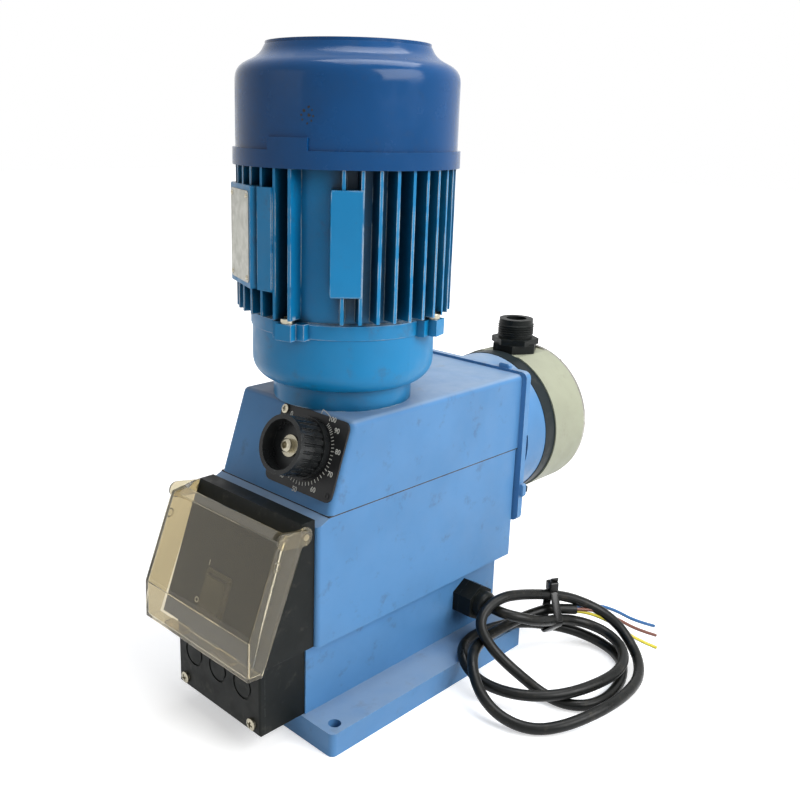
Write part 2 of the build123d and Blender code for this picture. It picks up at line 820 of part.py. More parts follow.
with BuildPart() as head_bolts:
    with BuildSketch(rear_plane(end_plate_y, head_z)):
        with PolarLocations(bolt_pcd / 2, bolt_count):
            RegularPolygon(bolt_head_af / 2, 6, major_radius=False)
    extrude(amount=bolt_head_h)
    with BuildSketch(rear_plane(end_plate_y, head_z)):
        with PolarLocations(bolt_pcd / 2, bolt_count):
            Circle(bolt_r)
    extrude(amount=lantern_rear_y - bolt_grip - end_plate_y)
head_bolts.part.label = "head_bolts"
export_step(head_bolts.part, "parts/head_bolts.step")

for name, side in (("discharge", 1), ("suction", -1)):
    boss_z = head_z + side * port_boss_z
    hex_z = boss_z + side * connector_hex_h
    collar_z = hex_z + side * connector_collar_h
    thread_z = collar_z + side * thread_len
    plug_z = discharge_cage_z if side > 0 else suction_seat_z
    with BuildPart() as connector:
        with BuildSketch(Plane(origin=(0, head_mid_y, boss_z))):
            RegularPolygon(connector_hex_af / 2, 6, major_radius=False)
        extrude(amount=side * connector_hex_h)
        with BuildSketch(Plane(origin=(0, head_mid_y, hex_z))):
            RegularPolygon(connector_hex_af / 2, 6, major_radius=False, rotation=30)
        extrude(amount=side * connector_collar_h)
        with BuildSketch(port_section):
            band(0, thread_r, min(collar_z, thread_z), max(collar_z, thread_z))
            band(0, socket_r - fit_gap, min(plug_z, boss_z), max(plug_z, boss_z))
        revolve(axis=port_axis)
        with BuildSketch(port_section):
            bore_z = plug_z
            if side > 0:
                band(0, cage_r, plug_z, plug_z + cage_h)
                band(0, port_bore_r, plug_z, boss_z)
                bore_z = plug_z + cage_h + port_bore_r
            band(0, connector_bore_r, min(bore_z, thread_z), max(bore_z, thread_z))
        revolve(axis=port_axis, mode=Mode.SUBTRACT)
    connector.part.label = f"{name}_connector"
    export_step(connector.part, f"parts/{name}_connector.step")

    seat_z = discharge_seat_z if side > 0 else suction_seat_z
    with BuildPart() as seat:
        with BuildSketch(port_section):
            band(seat_bore_r, socket_r - fit_gap, seat_z, seat_z + seat_t)
        revolve(axis=port_axis)
    seat.part.label = f"{name}_seat"
    export_step(seat.part, f"parts/{name}_seat.step")

    with BuildPart() as ball:
        with Locations((0, head_mid_y, seat_z + seat_t + contact_drop + running_gap)):
            Sphere(ball_r)
    ball.part.label = f"{name}_ball"
    export_step(ball.part, f"parts/{name}_ball.step")

# ---------------------------------------------------------------- motor
shield_low_z = adapter_top_z
cavity_z = shield_low_z + shield_wall + shield_floor
pocket_low_z = lower_bearing_z - bearing_w / 2
pocket_high_z = lower_bearing_z + bearing_w / 2
rear_shield_z = cowl_band_bottom_z
rear_pocket_z = rear_shield_z + rear_shield_h / 2

with BuildPart() as motor_adapter:
    with BuildSketch(motor_section):
        band(adapter_bore_r, adapter_r, top_z, adapter_top_z)
        band(adapter_bore_r, adapter_spigot_r, top_z - body_wall, top_z)
    revolve(axis=motor_axis)
motor_adapter.part.label = "motor_adapter"
export_step(motor_adapter.part, "parts/motor_adapter.step")

with BuildPart() as end_shield:
    with BuildSketch(motor_section):
        outline(
            (0, shield_low_z),
            (shield_r, shield_low_z),
            (shield_r, shield_top_z),
            (0, shield_top_z),
        )
    revolve(axis=motor_axis)
    fillet(end_shield.edges().sort_by(Axis.Z)[0], shield_round_r)
    for quarter in range(4):
        with BuildSketch(radial_plane(lug_angle + 90 * quarter, shield_top_z)):
            band(frame_r, lug_reach_r - lug_width / 4, -lug_width / 2, lug_width / 2)
            band(frame_r, lug_reach_r, -lug_width / 4, lug_width / 4)
        extrude(amount=-lug_h)
        with BuildSketch(radial_plane(lug_angle + 90 * quarter, shield_top_z)):
            with Locations((lug_screw_at, 0)):
                Circle(lug_screw_r + fit_gap)
        extrude(amount=-lug_h, mode=Mode.SUBTRACT)
    with BuildSketch(motor_section):
        band(0, shield_bore_r, shield_low_z, shield_top_z)
        band(0, bearing_r + fit_gap, pocket_low_z, shield_top_z)
        band(shield_hub_r, shield_r - shield_wall, cavity_z, shield_top_z)
        band(0, shield_r - shield_wall, pocket_high_z, shield_top_z)
    revolve(axis=motor_axis, mode=Mode.SUBTRACT)
end_shield.part.label = "end_shield"
export_step(end_shield.part, "parts/end_shield.step")

with BuildPart() as shield_screws:
    for quarter in range(4):
        with BuildSketch(radial_plane(lug_angle + 90 * quarter, shield_top_z)):
            with Locations((lug_screw_at, 0)):
                Circle(lug_screw_head_r)
        extrude(amount=lug_screw_head_h)
        with BuildSketch(radial_plane(lug_angle + 90 * quarter, shield_top_z)):
            with Locations((lug_screw_at, 0)):
                Circle(lug_screw_r)
        extrude(amount=-lug_h)
shield_screws.part.label = "shield_screws"
export_step(shield_screws.part, "parts/shield_screws.step")

with BuildPart() as motor_frame:
    with BuildSketch(motor_plane(shield_top_z)):
        Circle(frame_r)
    extrude(amount=rear_shield_z - shield_top_z)
    with BuildSketch(motor_plane(fin_bottom_z)):
        for step in range(round(360 / fin_pitch_deg)):
            fin_angle = step * fin_pitch_deg
            if fin_angle - 360 in bare_angles:
                continue
            with Locations(Rotation(0, 0, fin_angle)):
                outline(
                    (frame_r - 1, -fin_root_t / 2),
                    (fin_tip_r, -fin_tip_t / 2),
                    (fin_tip_r, fin_tip_t / 2),
                    (frame_r - 1, fin_root_t / 2),
                )
    extrude(amount=rear_shield_z - fin_bottom_z)
    for angle, width, reach in (
        (pad_angle, pad_width, fin_tip_r + 1),
        (side_pad_angle, side_pad_width, fin_tip_r + 1),
        (plate_pad_angle, plate_pad_width, plate_pad_r),
    ):
        with BuildSketch(radial_plane(angle, pad_bottom_z)):
            band(frame_r - pad_root, reach, -width / 2, width / 2)
        extrude(amount=pad_top_z - pad_bottom_z)
    with BuildSketch(motor_plane(shield_top_z)):
        Circle(stator_r + fit_gap)
    extrude(amount=rear_shield_z - shield_top_z, mode=Mode.SUBTRACT)
    # Room for the heads of the shield's screws under the fins
    for quarter in range(4):
        with BuildSketch(radial_plane(lug_angle + 90 * quarter, shield_top_z)):
            with Locations((lug_screw_at, 0)):
                Circle(lug_screw_head_r + body_gap)
        extrude(amount=lug_screw_head_h + body_gap, mode=Mode.SUBTRACT)
motor_frame.part.label = "motor_frame"
export_step(motor_frame.part, "parts/motor_frame.step")

winding_r = (stator_r + stator_bore_r) / 2
with BuildPart() as stator_core:
    with BuildSketch(motor_plane(stator_bottom_z)):
        Circle(stator_r)
        Circle(stator_bore_r, mode=Mode.SUBTRACT)
        with PolarLocations(winding_r, stator_slots):
            Circle(slot_r + fit_gap, mode=Mode.SUBTRACT)
    extrude(amount=stator_top_z - stator_bottom_z)
stator_core.part.label = "stator_core"
export_step(stator_core.part, "parts/stator_core.step")

with BuildPart() as stator_windings:
    with BuildSketch(motor_plane(stator_bottom_z)):
        with PolarLocations(winding_r, stator_slots):
            Circle(slot_r)
    extrude(amount=stator_top_z - stator_bottom_z)
    with BuildSketch(motor_section):
        for low_z in (stator_bottom_z - winding_overhang, stator_top_z):
            band(winding_r - 2 * slot_r, winding_r + 2 * slot_r, low_z, low_z + winding_overhang)
    revolve(axis=motor_axis)
stator_windings.part.label = "stator_windings"
export_step(stator_windings.part, "parts/stator_windings.step")

with BuildPart() as rear_end_shield:
    with BuildSketch(motor_plane(rear_shield_z)):
        Circle(frame_r)
        for quarter in range(4):
            with Locations(Rotation(0, 0, 45 + 90 * quarter)):
                band(0, cowl_r, -lug_width / 2, lug_width / 2)
        Circle(cowl_r - cowl_t - fit_gap, mode=Mode.INTERSECT)
    extrude(amount=rear_shield_h)
    with BuildSketch(motor_section):
        band(0, shield_hub_r, rear_shield_z - rear_shield_h, rear_shield_z)
    revolve(axis=motor_axis)
    with BuildSketch(motor_section):
        band(0, shield_bore_r, rear_shield_z - rear_shield_h, rear_shield_z + rear_shield_h)
        band(0, bearing_r + fit_gap, rear_shield_z - rear_shield_h, rear_pocket_z)
    revolve(axis=motor_axis, mode=Mode.SUBTRACT)
rear_end_shield.part.label = "rear_end_shield"
export_step(rear_end_shield.part, "parts/rear_end_shield.step")

with BuildPart() as motor_bearings:
    with BuildSketch(motor_section):
        for low_z in (pocket_low_z, rear_pocket_z - bearing_w):
            band(shaft_r + running_gap, bearing_r, low_z, low_z + bearing_w)
    revolve(axis=motor_axis)
motor_bearings.part.label = "motor_bearings"
export_step(motor_bearings.part, "parts/motor_bearings.step")

worm_top_z = head_z + worm_half
with BuildPart() as motor_shaft:
    with BuildSketch(motor_section):
        band(0, worm_shaft_r, head_z - worm_half, worm_top_z)
        band(0, shaft_r, worm_top_z, fan_bottom_z + fan_h)
    revolve(axis=motor_axis)
motor_shaft.part.label = "motor_shaft"
export_step(motor_shaft.part, "parts/motor_shaft.step")

with BuildPart() as rotor_core:
    with BuildSketch(motor_section):
        band(shaft_r + fit_gap, stator_bore_r - air_gap, stator_bottom_z, stator_top_z)
    revolve(axis=motor_axis)
rotor_core.part.label = "rotor_core"
export_step(rotor_core.part, "parts/rotor_core.step")

with BuildPart() as cooling_fan:
    with BuildSketch(motor_section):
        band(shaft_r + fit_gap, fan_hub_r, fan_bottom_z, fan_bottom_z + fan_h)
        band(shaft_r + fit_gap, fan_r, fan_bottom_z, fan_bottom_z + fan_blade_t)
    revolve(axis=motor_axis)
    with BuildSketch(motor_plane(fan_bottom_z)):
        for blade in range(fan_blades):
            with Locations(Rotation(0, 0, blade * 360 / fan_blades)):
                band(fan_hub_r - 1, fan_r, -fan_blade_t / 2, fan_blade_t / 2)
    extrude(amount=fan_h)
cooling_fan.part.label = "cooling_fan"
export_step(cooling_fan.part, "parts/cooling_fan.step")

with BuildPart() as fan_cowl:
    for inset, mode in ((0, Mode.ADD), (cowl_t, Mode.SUBTRACT)):
        with BuildSketch(motor_section):
            with BuildLine():
                Polyline(
                    (0, cowl_top_z - cowl_lip_h - inset),
                    (0, cowl_band_bottom_z),
                    (cowl_r - inset, cowl_band_bottom_z),
                    (cowl_r - inset, cowl_shoulder_z),
                )
                ThreePointArc(
                    (cowl_r - inset, cowl_shoulder_z),
                    (cowl_waist_r - inset, cowl_waist_z),
                    (cowl_lip_r - inset, cowl_top_z - cowl_lip_h - inset),
                )
                Line(
                    (cowl_lip_r - inset, cowl_top_z - cowl_lip_h - inset),
                    (0, cowl_top_z - cowl_lip_h - inset),
                )
            make_face()
        revolve(axis=motor_axis, mode=mode)
    with BuildSketch(motor_section):
        band(
            cowl_r - cowl_t,
            cowl_band_r,
            cowl_band_bottom_z,
            cowl_band_bottom_z + cowl_band_h,
        )
        band(cowl_lip_r - cowl_lip_w, cowl_lip_r, cowl_top_z - cowl_lip_h - cowl_t, cowl_top_z)
    revolve(axis=motor_axis)
    # Raised tab of the band
    with BuildSketch(motor_plane(cowl_band_bottom_z + cowl_band_h)):
        Circle(cowl_band_r)
        Circle(cowl_r - cowl_t / 2, mode=Mode.SUBTRACT)
        with Locations(Rotation(0, 0, cowl_tab_angle)):
            Polygon(
                (0, 0),
                (2 * cowl_r, -cowl_tab_w),
                (2 * cowl_r, cowl_tab_w),
                align=None,
                mode=Mode.INTERSECT,
            )
    extrude(amount=cowl_tab_h)
    # Air grille: ring slots crossed by ribs
    with BuildSketch(motor_plane(cowl_top_z - cowl_lip_h - cowl_t)):
        for ring in reversed(range(grille_rings)):
            slot_in = grille_hub_r + ring * (grille_slot_w + grille_rib_w)
            Circle(slot_in + grille_slot_w)
            Circle(slot_in, mode=Mode.SUBTRACT)
        with PolarLocations(0, grille_ribs):
            Rectangle(2 * cowl_r, grille_rib_w, mode=Mode.SUBTRACT)
    extrude(amount=cowl_t, mode=Mode.SUBTRACT)
fan_cowl.part.label = "fan_cowl"
export_step(fan_cowl.part, "parts/fan_cowl.step")

# ---------------------------------------------------------------- stroke knob
knob_low = scale_t + body_gap
knob_floor = knob_h - knob_cup_depth
bore_depth = knob_floor - knob_web

with BuildPart() as scale_plate:
    with BuildSketch(knob_plane):
        with Locations((0, scale_shift)):
            RectangleRounded(scale_width, scale_height, scale_corner_r)
        Circle(spindle_r + body_gap, mode=Mode.SUBTRACT)
        with Locations(*scale_screw_places):
            Circle(scale_screw_r + fit_gap, mode=Mode.SUBTRACT)
    extrude(amount=scale_t)
scale_plate.part.label = "scale_plate"
export_step(scale_plate.part, "parts/scale_plate.step")

with BuildPart() as scale_screws:
    with BuildSketch(knob_plane.offset(scale_t)):
        with Locations(*scale_screw_places):
            Circle(scale_screw_head_r)
    extrude(amount=scale_screw_head_h)
    with BuildSketch(knob_plane.offset(scale_t)):
        with Locations(*scale_screw_places):
            Circle(scale_screw_r)
    extrude(amount=-body_wall + scale_screw_r)
scale_screws.part.label = "scale_screws"
export_step(scale_screws.part, "parts/scale_screws.step")

with BuildPart() as stroke_knob:
    with BuildSketch(knob_plane.offset(knob_low)):
        Circle(knob_skirt_r)
    extrude(amount=knob_skirt_h)
    with BuildSketch(knob_plane.offset(knob_low)):
        Circle(knob_r)
        with PolarLocations(knob_r, knob_flutes):
            Circle(flute_r, mode=Mode.SUBTRACT)
    extrude(amount=knob_h - knob_low - knob_rim)
    with BuildSketch(knob_plane.offset(knob_h - knob_rim)):
        Circle(knob_r)
    extrude(amount=knob_rim)
    with BuildSketch(knob_plane.offset(knob_h)):
        Circle(knob_cup_r)
    extrude(amount=-knob_cup_depth, mode=Mode.SUBTRACT)
    with BuildSketch(knob_plane.offset(knob_floor)):
        Circle(knob_screw_r + fit_gap)
    extrude(amount=-knob_web, mode=Mode.SUBTRACT)
    with BuildSketch(knob_plane.offset(knob_low)):
        Circle(spindle_r + running_gap)
    extrude(amount=bore_depth - knob_low, mode=Mode.SUBTRACT)
stroke_knob.part.label = "stroke_knob"
export_step(stroke_knob.part, "parts/stroke_knob.step")

with BuildPart() as knob_screw:
    with BuildSketch(knob_section):
        band(bore_depth + body_gap, knob_floor, 0, knob_screw_r)
        band(knob_floor, knob_floor + knob_washer_t, 0, knob_washer_r)
        band(knob_floor, knob_floor + knob_screw_head_h, 0, knob_screw_head_r)
    revolve(axis=knob_axis)
    with BuildSketch(knob_plane.offset(knob_floor + knob_screw_head_h)):
        RegularPolygon(knob_screw_head_r / 2, 6)
    extrude(amount=-knob_screw_head_h / 2, mode=Mode.SUBTRACT)
knob_screw.part.label = "knob_screw"
export_step(knob_screw.part, "parts/knob_screw.step")

with BuildPart() as stop_spindle:
    with BuildSketch(knob_section):
        band(-spindle_len, bore_depth - body_gap, 0, spindle_r)
    revolve(axis=knob_axis)
stop_spindle.part.label = "stop_spindle"
export_step(stop_spindle.part, "parts/stop_spindle.step")

# ---------------------------------------------------------------- control box, switch and clear cover
box_front_low = body_front_y - box_bottom_depth
box_front_high = body_front_y - box_top_depth
panel_shift = box_wall * box_slope_len / box_rise

with BuildPart() as control_box:
    with BuildSketch(Plane.YZ.offset(-box_width / 2)):
        outline(
            (body_front_y, step_z),
            (box_front_low, step_z),
            (box_front_high, seam_z),
            (body_front_y, seam_z),
        )
    extrude(amount=box_width)
    with BuildSketch(Plane.YZ.offset(-box_width / 2 + box_wall)):
        outline(
            (body_front_y, step_z + box_wall),
            (box_front_low + panel_shift + box_run * box_wall / box_rise, step_z + box_wall),
            (box_front_high + panel_shift - box_run * box_wall / box_rise, seam_z - box_wall),
            (body_front_y, seam_z - box_wall),
        )
    extrude(amount=box_width - 2 * box_wall, mode=Mode.SUBTRACT)
    with BuildSketch(switch_plane):
        Rectangle(switch_inner_w + 2 * switch_rim, switch_inner_h + 2 * switch_rim)
    extrude(amount=-2 * box_wall, mode=Mode.SUBTRACT)
    # Pads and holes for the hinge pins of the clear cover
    with BuildSketch(Plane.YZ.offset(-box_width / 2)):
        with Locations((pivot_y, pivot_z)):
            Circle(pivot_r)
    extrude(amount=box_width, mode=Mode.SUBTRACT)
control_box.part.label = "control_box"
export_step(control_box.part, "parts/control_box.step")

with BuildPart() as hinge_pins:
    for side in (-1, 1):
        with BuildSketch(Plane.YZ.offset(side * (box_width / 2 - box_wall))):
            with Locations((pivot_y, pivot_z)):
                Circle(pivot_r)
        extrude(amount=side * (cover_width / 2 - box_width / 2 + box_wall + body_gap))
hinge_pins.part.label = "hinge_pins"
export_step(hinge_pins.part, "parts/hinge_pins.step")

with BuildPart() as switch_frame:
    with BuildSketch(switch_plane):
        RectangleRounded(switch_width, switch_height, switch_rim)
    extrude(amount=switch_rim)
    with BuildSketch(switch_plane):
        Rectangle(
            switch_inner_w + 2 * switch_rim - fit_gap,
            switch_inner_h + 2 * switch_rim - fit_gap,
        )
    extrude(amount=-switch_depth)
    with BuildSketch(switch_plane.offset(switch_rim)):
        Rectangle(switch_inner_w, switch_inner_h)
    extrude(amount=-switch_depth, mode=Mode.SUBTRACT)
switch_frame.part.label = "switch_frame"
export_step(switch_frame.part, "parts/switch_frame.step")

rocker_w = switch_inner_w - 2 * body_gap
rocker_h = switch_inner_h - 2 * rocker_room
with BuildPart() as switch_rocker:
    with BuildSketch(Plane(origin=switch_origin, x_dir=box_out, z_dir=(1, 0, 0)).offset(-rocker_w / 2)):
        band(-rocker_depth, rocker_rise, -rocker_h / 2, rocker_h / 2)
        with Locations((rocker_rise + rocker_r - rocker_dish, 0)):
            Circle(rocker_r, mode=Mode.SUBTRACT)
    extrude(amount=rocker_w)
switch_rocker.part.label = "switch_rocker"
export_step(switch_rocker.part, "parts/switch_rocker.step")

with BuildPart() as circuit_board:
    board_y = body_front_y - board_standoff
    with BuildSketch(rear_plane(board_y - board_t, (step_z + seam_z) / 2)):
        Rectangle(board_w, board_h)
    extrude(amount=board_t)
    with BuildSketch(rear_plane(board_y, (step_z + seam_z) / 2)):
        with GridLocations(board_w - 2 * board_standoff, board_h - 2 * board_standoff, 2, 2):
            Circle(board_standoff)
    extrude(amount=board_standoff)
    # A relay and a capacitor on the front of the board
    with BuildSketch(rear_plane(board_y - board_t, step_z + board_h / 3)):
        with Locations((board_w / 4, 0)):
            Rectangle(relay_w, relay_w / 2)
    extrude(amount=-relay_w / 2)
    with BuildSketch(rear_plane(board_y - board_t, step_z + board_h / 3)):
        with Locations((-board_w / 3, 0)):
            Circle(relay_w / 4)
    extrude(amount=-relay_w / 2)
circuit_board.part.label = "circuit_board"
export_step(circuit_board.part, "parts/circuit_board.step")

with BuildPart() as clear_cover:
    with BuildSketch(Plane.YZ.offset(-cover_width / 2)):
        outline(
            (cover_top_rear_y, cover_top_rear_z),
            (cover_top_front_y, cover_top_front_z),
            (cover_belly_y, cover_belly_z),
            (cover_low_front_y, cover_low_front_z),
            (cover_low_rear_y, cover_low_rear_z),
            (pivot_y - pivot_r, pivot_z - arm_r + 1),
        )
        with Locations((pivot_y, pivot_z)):
            Circle(arm_r)
    extrude(amount=cover_width)
    with BuildSketch(Plane.YZ.offset(-cover_width / 2 + cover_wall)):
        outline(
            (cover_plate_rear_y, cover_top_rear_z + arm_r),
            (cover_plate_rear_y, cover_top_rear_z - cover_wall - 1),
            (cover_top_front_y + cover_wall / 2, cover_top_front_z - cover_wall),
            (cover_belly_y + cover_wall, cover_belly_z),
            (cover_low_front_y + cover_wall, cover_low_front_z + cover_wall),
            (pivot_y + arm_r, cover_low_rear_z + cover_wall),
            (pivot_y + arm_r, cover_top_rear_z + arm_r),
        )
    extrude(amount=cover_width - 2 * cover_wall, mode=Mode.SUBTRACT)
    with BuildSketch(Plane.YZ.offset(-cover_width / 2)):
        with Locations((pivot_y, pivot_z)):
            Circle(pivot_r + running_gap)
    extrude(amount=cover_width, mode=Mode.SUBTRACT)
clear_cover.part.label = "clear_cover"
export_step(clear_cover.part, "parts/clear_cover.step")

terminal_rear_y = body_front_y
terminal_front_y = terminal_rear_y - terminal_depth + lid_t
with BuildPart() as terminal_box:
    with BuildSketch(rear_plane(terminal_front_y)):
        band(-terminal_width / 2, terminal_width / 2, foot_thickness, step_z)
    extrude(amount=terminal_depth - lid_t)
    with BuildSketch(rear_plane(terminal_front_y)):
        band(
            -terminal_width / 2 + box_wall,
            terminal_width / 2 - box_wall,
            foot_thickness + box_wall,
            step_z - box_wall,
        )
    extrude(amount=terminal_depth - lid_t - box_wall, mode=Mode.SUBTRACT)
    # Posts for the lid screws
    with BuildSketch(rear_plane(terminal_front_y, lid_screw_z)):
        with Locations((-lid_screw_x, 0), (lid_screw_x, 0)):
            Rectangle(2 * lid_post_r, 2 * lid_post_r)
    extrude(amount=terminal_depth - lid_t - box_wall)
    with BuildSketch(rear_plane(terminal_front_y, lid_screw_z)):
        with Locations((-lid_screw_x, 0), (lid_screw_x, 0)):
            Circle(lid_screw_r + fit_gap)
    extrude(amount=lid_screw_len, mode=Mode.SUBTRACT)
terminal_box.part.label = "terminal_box"
export_step(terminal_box.part, "parts/terminal_box.step")

with BuildPart() as terminal_lid:
    with BuildSketch(rear_plane(terminal_front_y - lid_t)):
        band(-terminal_width / 2, terminal_width / 2, foot_thickness, step_z)
    extrude(amount=lid_t)
    fillet(terminal_lid.edges().group_by(Axis.Y)[0], lid_t / 3)
    with BuildSketch(rear_plane(terminal_front_y - lid_t, knockout_z)):
        with GridLocations(knockout_pitch, 0, 3, 1):
            Circle(knockout_r)
            Circle(knockout_r - 2 * knockout_groove, mode=Mode.SUBTRACT)
    extrude(amount=knockout_groove, mode=Mode.SUBTRACT)
    with BuildSketch(rear_plane(terminal_front_y - lid_t, lid_screw_z)):
        with Locations((-lid_screw_x, 0), (lid_screw_x, 0)):
            Circle(lid_screw_r + fit_gap)
    extrude(amount=lid_t, mode=Mode.SUBTRACT)
terminal_lid.part.label = "terminal_lid"
export_step(terminal_lid.part, "parts/terminal_lid.step")

with BuildPart() as lid_screws:
    with BuildSketch(rear_plane(terminal_front_y - lid_t, lid_screw_z)):
        with Locations((-lid_screw_x, 0), (lid_screw_x, 0)):
            Circle(lid_screw_head_r)
    extrude(amount=-lid_screw_head_h)
    with BuildSketch(rear_plane(terminal_front_y - lid_t, lid_screw_z)):
        with Locations((-lid_screw_x, 0), (lid_screw_x, 0)):
            Circle(lid_screw_r)
    extrude(amount=lid_t + lid_screw_len)
lid_screws.part.label = "lid_screws"
export_step(lid_screws.part, "parts/lid_screws.step")

with BuildPart() as terminal_block:
    block_y = terminal_rear_y - box_wall - block_size
    with BuildSketch(rear_plane(block_y, (foot_thickness + step_z) / 2)):
        Rectangle(block_w, block_size)
        with GridLocations(block_w / block_ways, 0, block_ways, 1):
            Circle(block_size / 4, mode=Mode.SUBTRACT)
    extrude(amount=block_size)
terminal_block.part.label = "terminal_block"
export_step(terminal_block.part, "parts/terminal_block.step")

# ---------------------------------------------------------------- cable
gland_x = pedestal_width / 2
nose_x = gland_x + gland_hex_h
dome_x = nose_x + nut_h
nose_end_x = dome_x - nose_gap
gland_end_x = gland_x - 3 * gland_hex_h

with BuildPart() as cable_gland:
    with BuildSketch(Plane(origin=(gland_x, gland_y, gland_z), z_dir=(1, 0, 0))):
        RegularPolygon(gland_af / 2, 6, major_radius=False)
    extrude(amount=gland_hex_h)
    with BuildSketch(gland_section):
        band(gland_end_x, gland_x, 0, gland_thread_r)
        band(nose_x, nose_end_x, 0, gland_nose_r)
    revolve(axis=gland_axis)
    with BuildSketch(gland_section):
        band(gland_end_x, nose_end_x, 0, cable_d / 2 + fit_gap)
    revolve(axis=gland_axis, mode=Mode.SUBTRACT)
cable_gland.part.label = "cable_gland"
export_step(cable_gland.part, "parts/cable_gland.step")

with BuildPart() as gland_nut:
    with BuildSketch(Plane(origin=(nose_x, gland_y, gland_z), z_dir=(1, 0, 0))):
        RegularPolygon(gland_af / 2, 6, major_radius=False)
    extrude(amount=nut_h)
    with BuildSketch(Plane(origin=(dome_x, gland_y, gland_z), z_dir=(1, 0, 0))):
        Circle(gland_thread_r)
    extrude(amount=dome_h)
    fillet(gland_nut.edges().sort_by(Axis.X)[-1], dome_h / 2)
    with BuildSketch(gland_section):
        band(nose_x, nose_end_x, 0, gland_nose_r + fit_gap)
        band(nose_x, dome_x + dome_h, 0, cable_d / 2 + fit_gap)
    revolve(axis=gland_axis, mode=Mode.SUBTRACT)
gland_nut.part.label = "gland_nut"
export_step(gland_nut.part, "parts/gland_nut.step")


def cord_radii(route):
    """Bend radii of a route: tangent arcs that leave a straight piece in every run."""
    radii = []
    for before, corner, after in zip(route, route[1:], route[2:]):
        run_in = Vector(*corner) - Vector(*before)
        run_out = Vector(*after) - Vector(*corner)
        turn = math.radians(run_in.get_angle(run_out))
        shorter = min(run_in.length, run_out.length)
        radii.append(0.45 * shorter / math.tan(turn / 2))
    return radii


# Every cord is a diameter and a list of route points.
cords = {
    "cable_tail": (
        cable_d,
        (
            (64, 60.5, 43),
            (73, 60.5, 43),
            (83, 62, 42),
            (91, 71, 38),
            (94, 84, 33),
            (93, 97, 28),
            (91, 109, 25),
        ),
    ),
    "cable_end": (
        cable_d,
        (
            (80, 94, 31),
            (84, 108, 31),
            (91, 117, 30),
            (98, 127, 29),
        ),
    ),
    "core_blue": (
        core_d,
        (
            (95, 124.9, 30),
            (100.5, 134.5, 29.3),
            (105, 149, 27),
            (112, 163, 20),
            (121, 178, 9),
            (129, 194, 2),
        ),
    ),
    "core_brown": (
        core_d,
        (
            (97.1, 123.4, 30),
            (103.5, 132.5, 29.3),
            (111, 145, 25),
            (119, 157, 17),
            (128, 169, 8),
            (137, 182, 2),
        ),
    ),
    "core_green_yellow": (
        core_d,
        (
            (95.9, 124, 27.9),
            (102.5, 133, 26.5),
            (113, 142, 22),
            (124, 150, 15),
            (135, 157, 7),
            (146, 166, 2),
        ),
    ),
}

for name, (diameter, route) in cords.items():
    radii = cord_radii(route)
    with BuildPart() as cord:
        with BuildLine() as cord_line:
            FilletPolyline(*route, radius=radii)
        start = cord_line.line @ 0
        way = cord_line.line % 0
        with BuildSketch(Plane(origin=start, z_dir=way)):
            Circle(diameter / 2)
        sweep()
    cord.part.label = name
    export_step(cord.part, f"parts/{name}.step")
    print(name, "length", round(cord_line.wires()[0].length), "radii", [round(r, 1) for r in radii])

# The tied loops as one ring: its left side lies over the edge of the foot and stands up to the
# gland's height, and its right side lies on the floor.
foot_edge_x = foot_width / 2 + body_gap
with BuildPart() as cable_coil:
    with BuildSketch(Plane.XY):
        with Locations((coil_x, coil_y)):
            Ellipse(coil_half_x, coil_half_y)
            Ellipse(coil_half_x - coil_band, coil_half_y - coil_band, mode=Mode.SUBTRACT)
    extrude(amount=coil_high_z)
    with BuildSketch(Plane.XZ.offset(-coil_y - coil_half_y)):
        outline(
            (coil_x - coil_half_x, foot_thickness + body_gap),
            (foot_edge_x, foot_thickness + body_gap),
            (foot_edge_x, body_gap),
            (coil_x + coil_half_x, body_gap),
            (coil_x + coil_half_x, coil_low_z),
            (coil_peak_x, coil_high_z),
            (dome_x + dome_h + 1, coil_high_z),
            (dome_x + dome_h + 1, coil_shelf_z),
            (coil_x - coil_half_x, coil_shelf_z),
        )
    extrude(amount=2 * coil_half_y, mode=Mode.INTERSECT)
cable_coil.part.label = "cable_coil"
export_step(cable_coil.part, "parts/cable_coil.step")

tie_plane = Plane(
    origin=(tie_x, tie_y, (tie_low_z + tie_high_z) / 2),
    x_dir=(math.sin(math.radians(tie_angle)), -math.cos(math.radians(tie_angle)), 0),
    z_dir=(math.cos(math.radians(tie_angle)), math.sin(math.radians(tie_angle)), 0),
)
tie_h = tie_high_z - tie_low_z
with BuildPart() as cable_tie:
    with BuildSketch(tie_plane):
        RectangleRounded(tie_span + 2 * tie_t, tie_h + 2 * tie_t, tie_r + tie_t)
        RectangleRounded(tie_span, tie_h, tie_r, mode=Mode.SUBTRACT)
        with Locations((0, tie_h / 2 + tie_head / 2)):
            Rectangle(tie_head, tie_head)
    extrude(amount=tie_w / 2, both=True)
cable_tie.part.label = "cable_tie"
export_step(cable_tie.part, "parts/cable_tie.step")
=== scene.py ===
"""The looks of a diaphragm metering pump round its CAD frame: finishes, cable, markings and small parts.

Lengths are in millimetres and are turned into metres where Blender takes them. Z is up, and the
front, with the stroke knob and the control box, is -Y.
"""

import math
import random

import bmesh
import bpy
from mathutils import Matrix, Vector


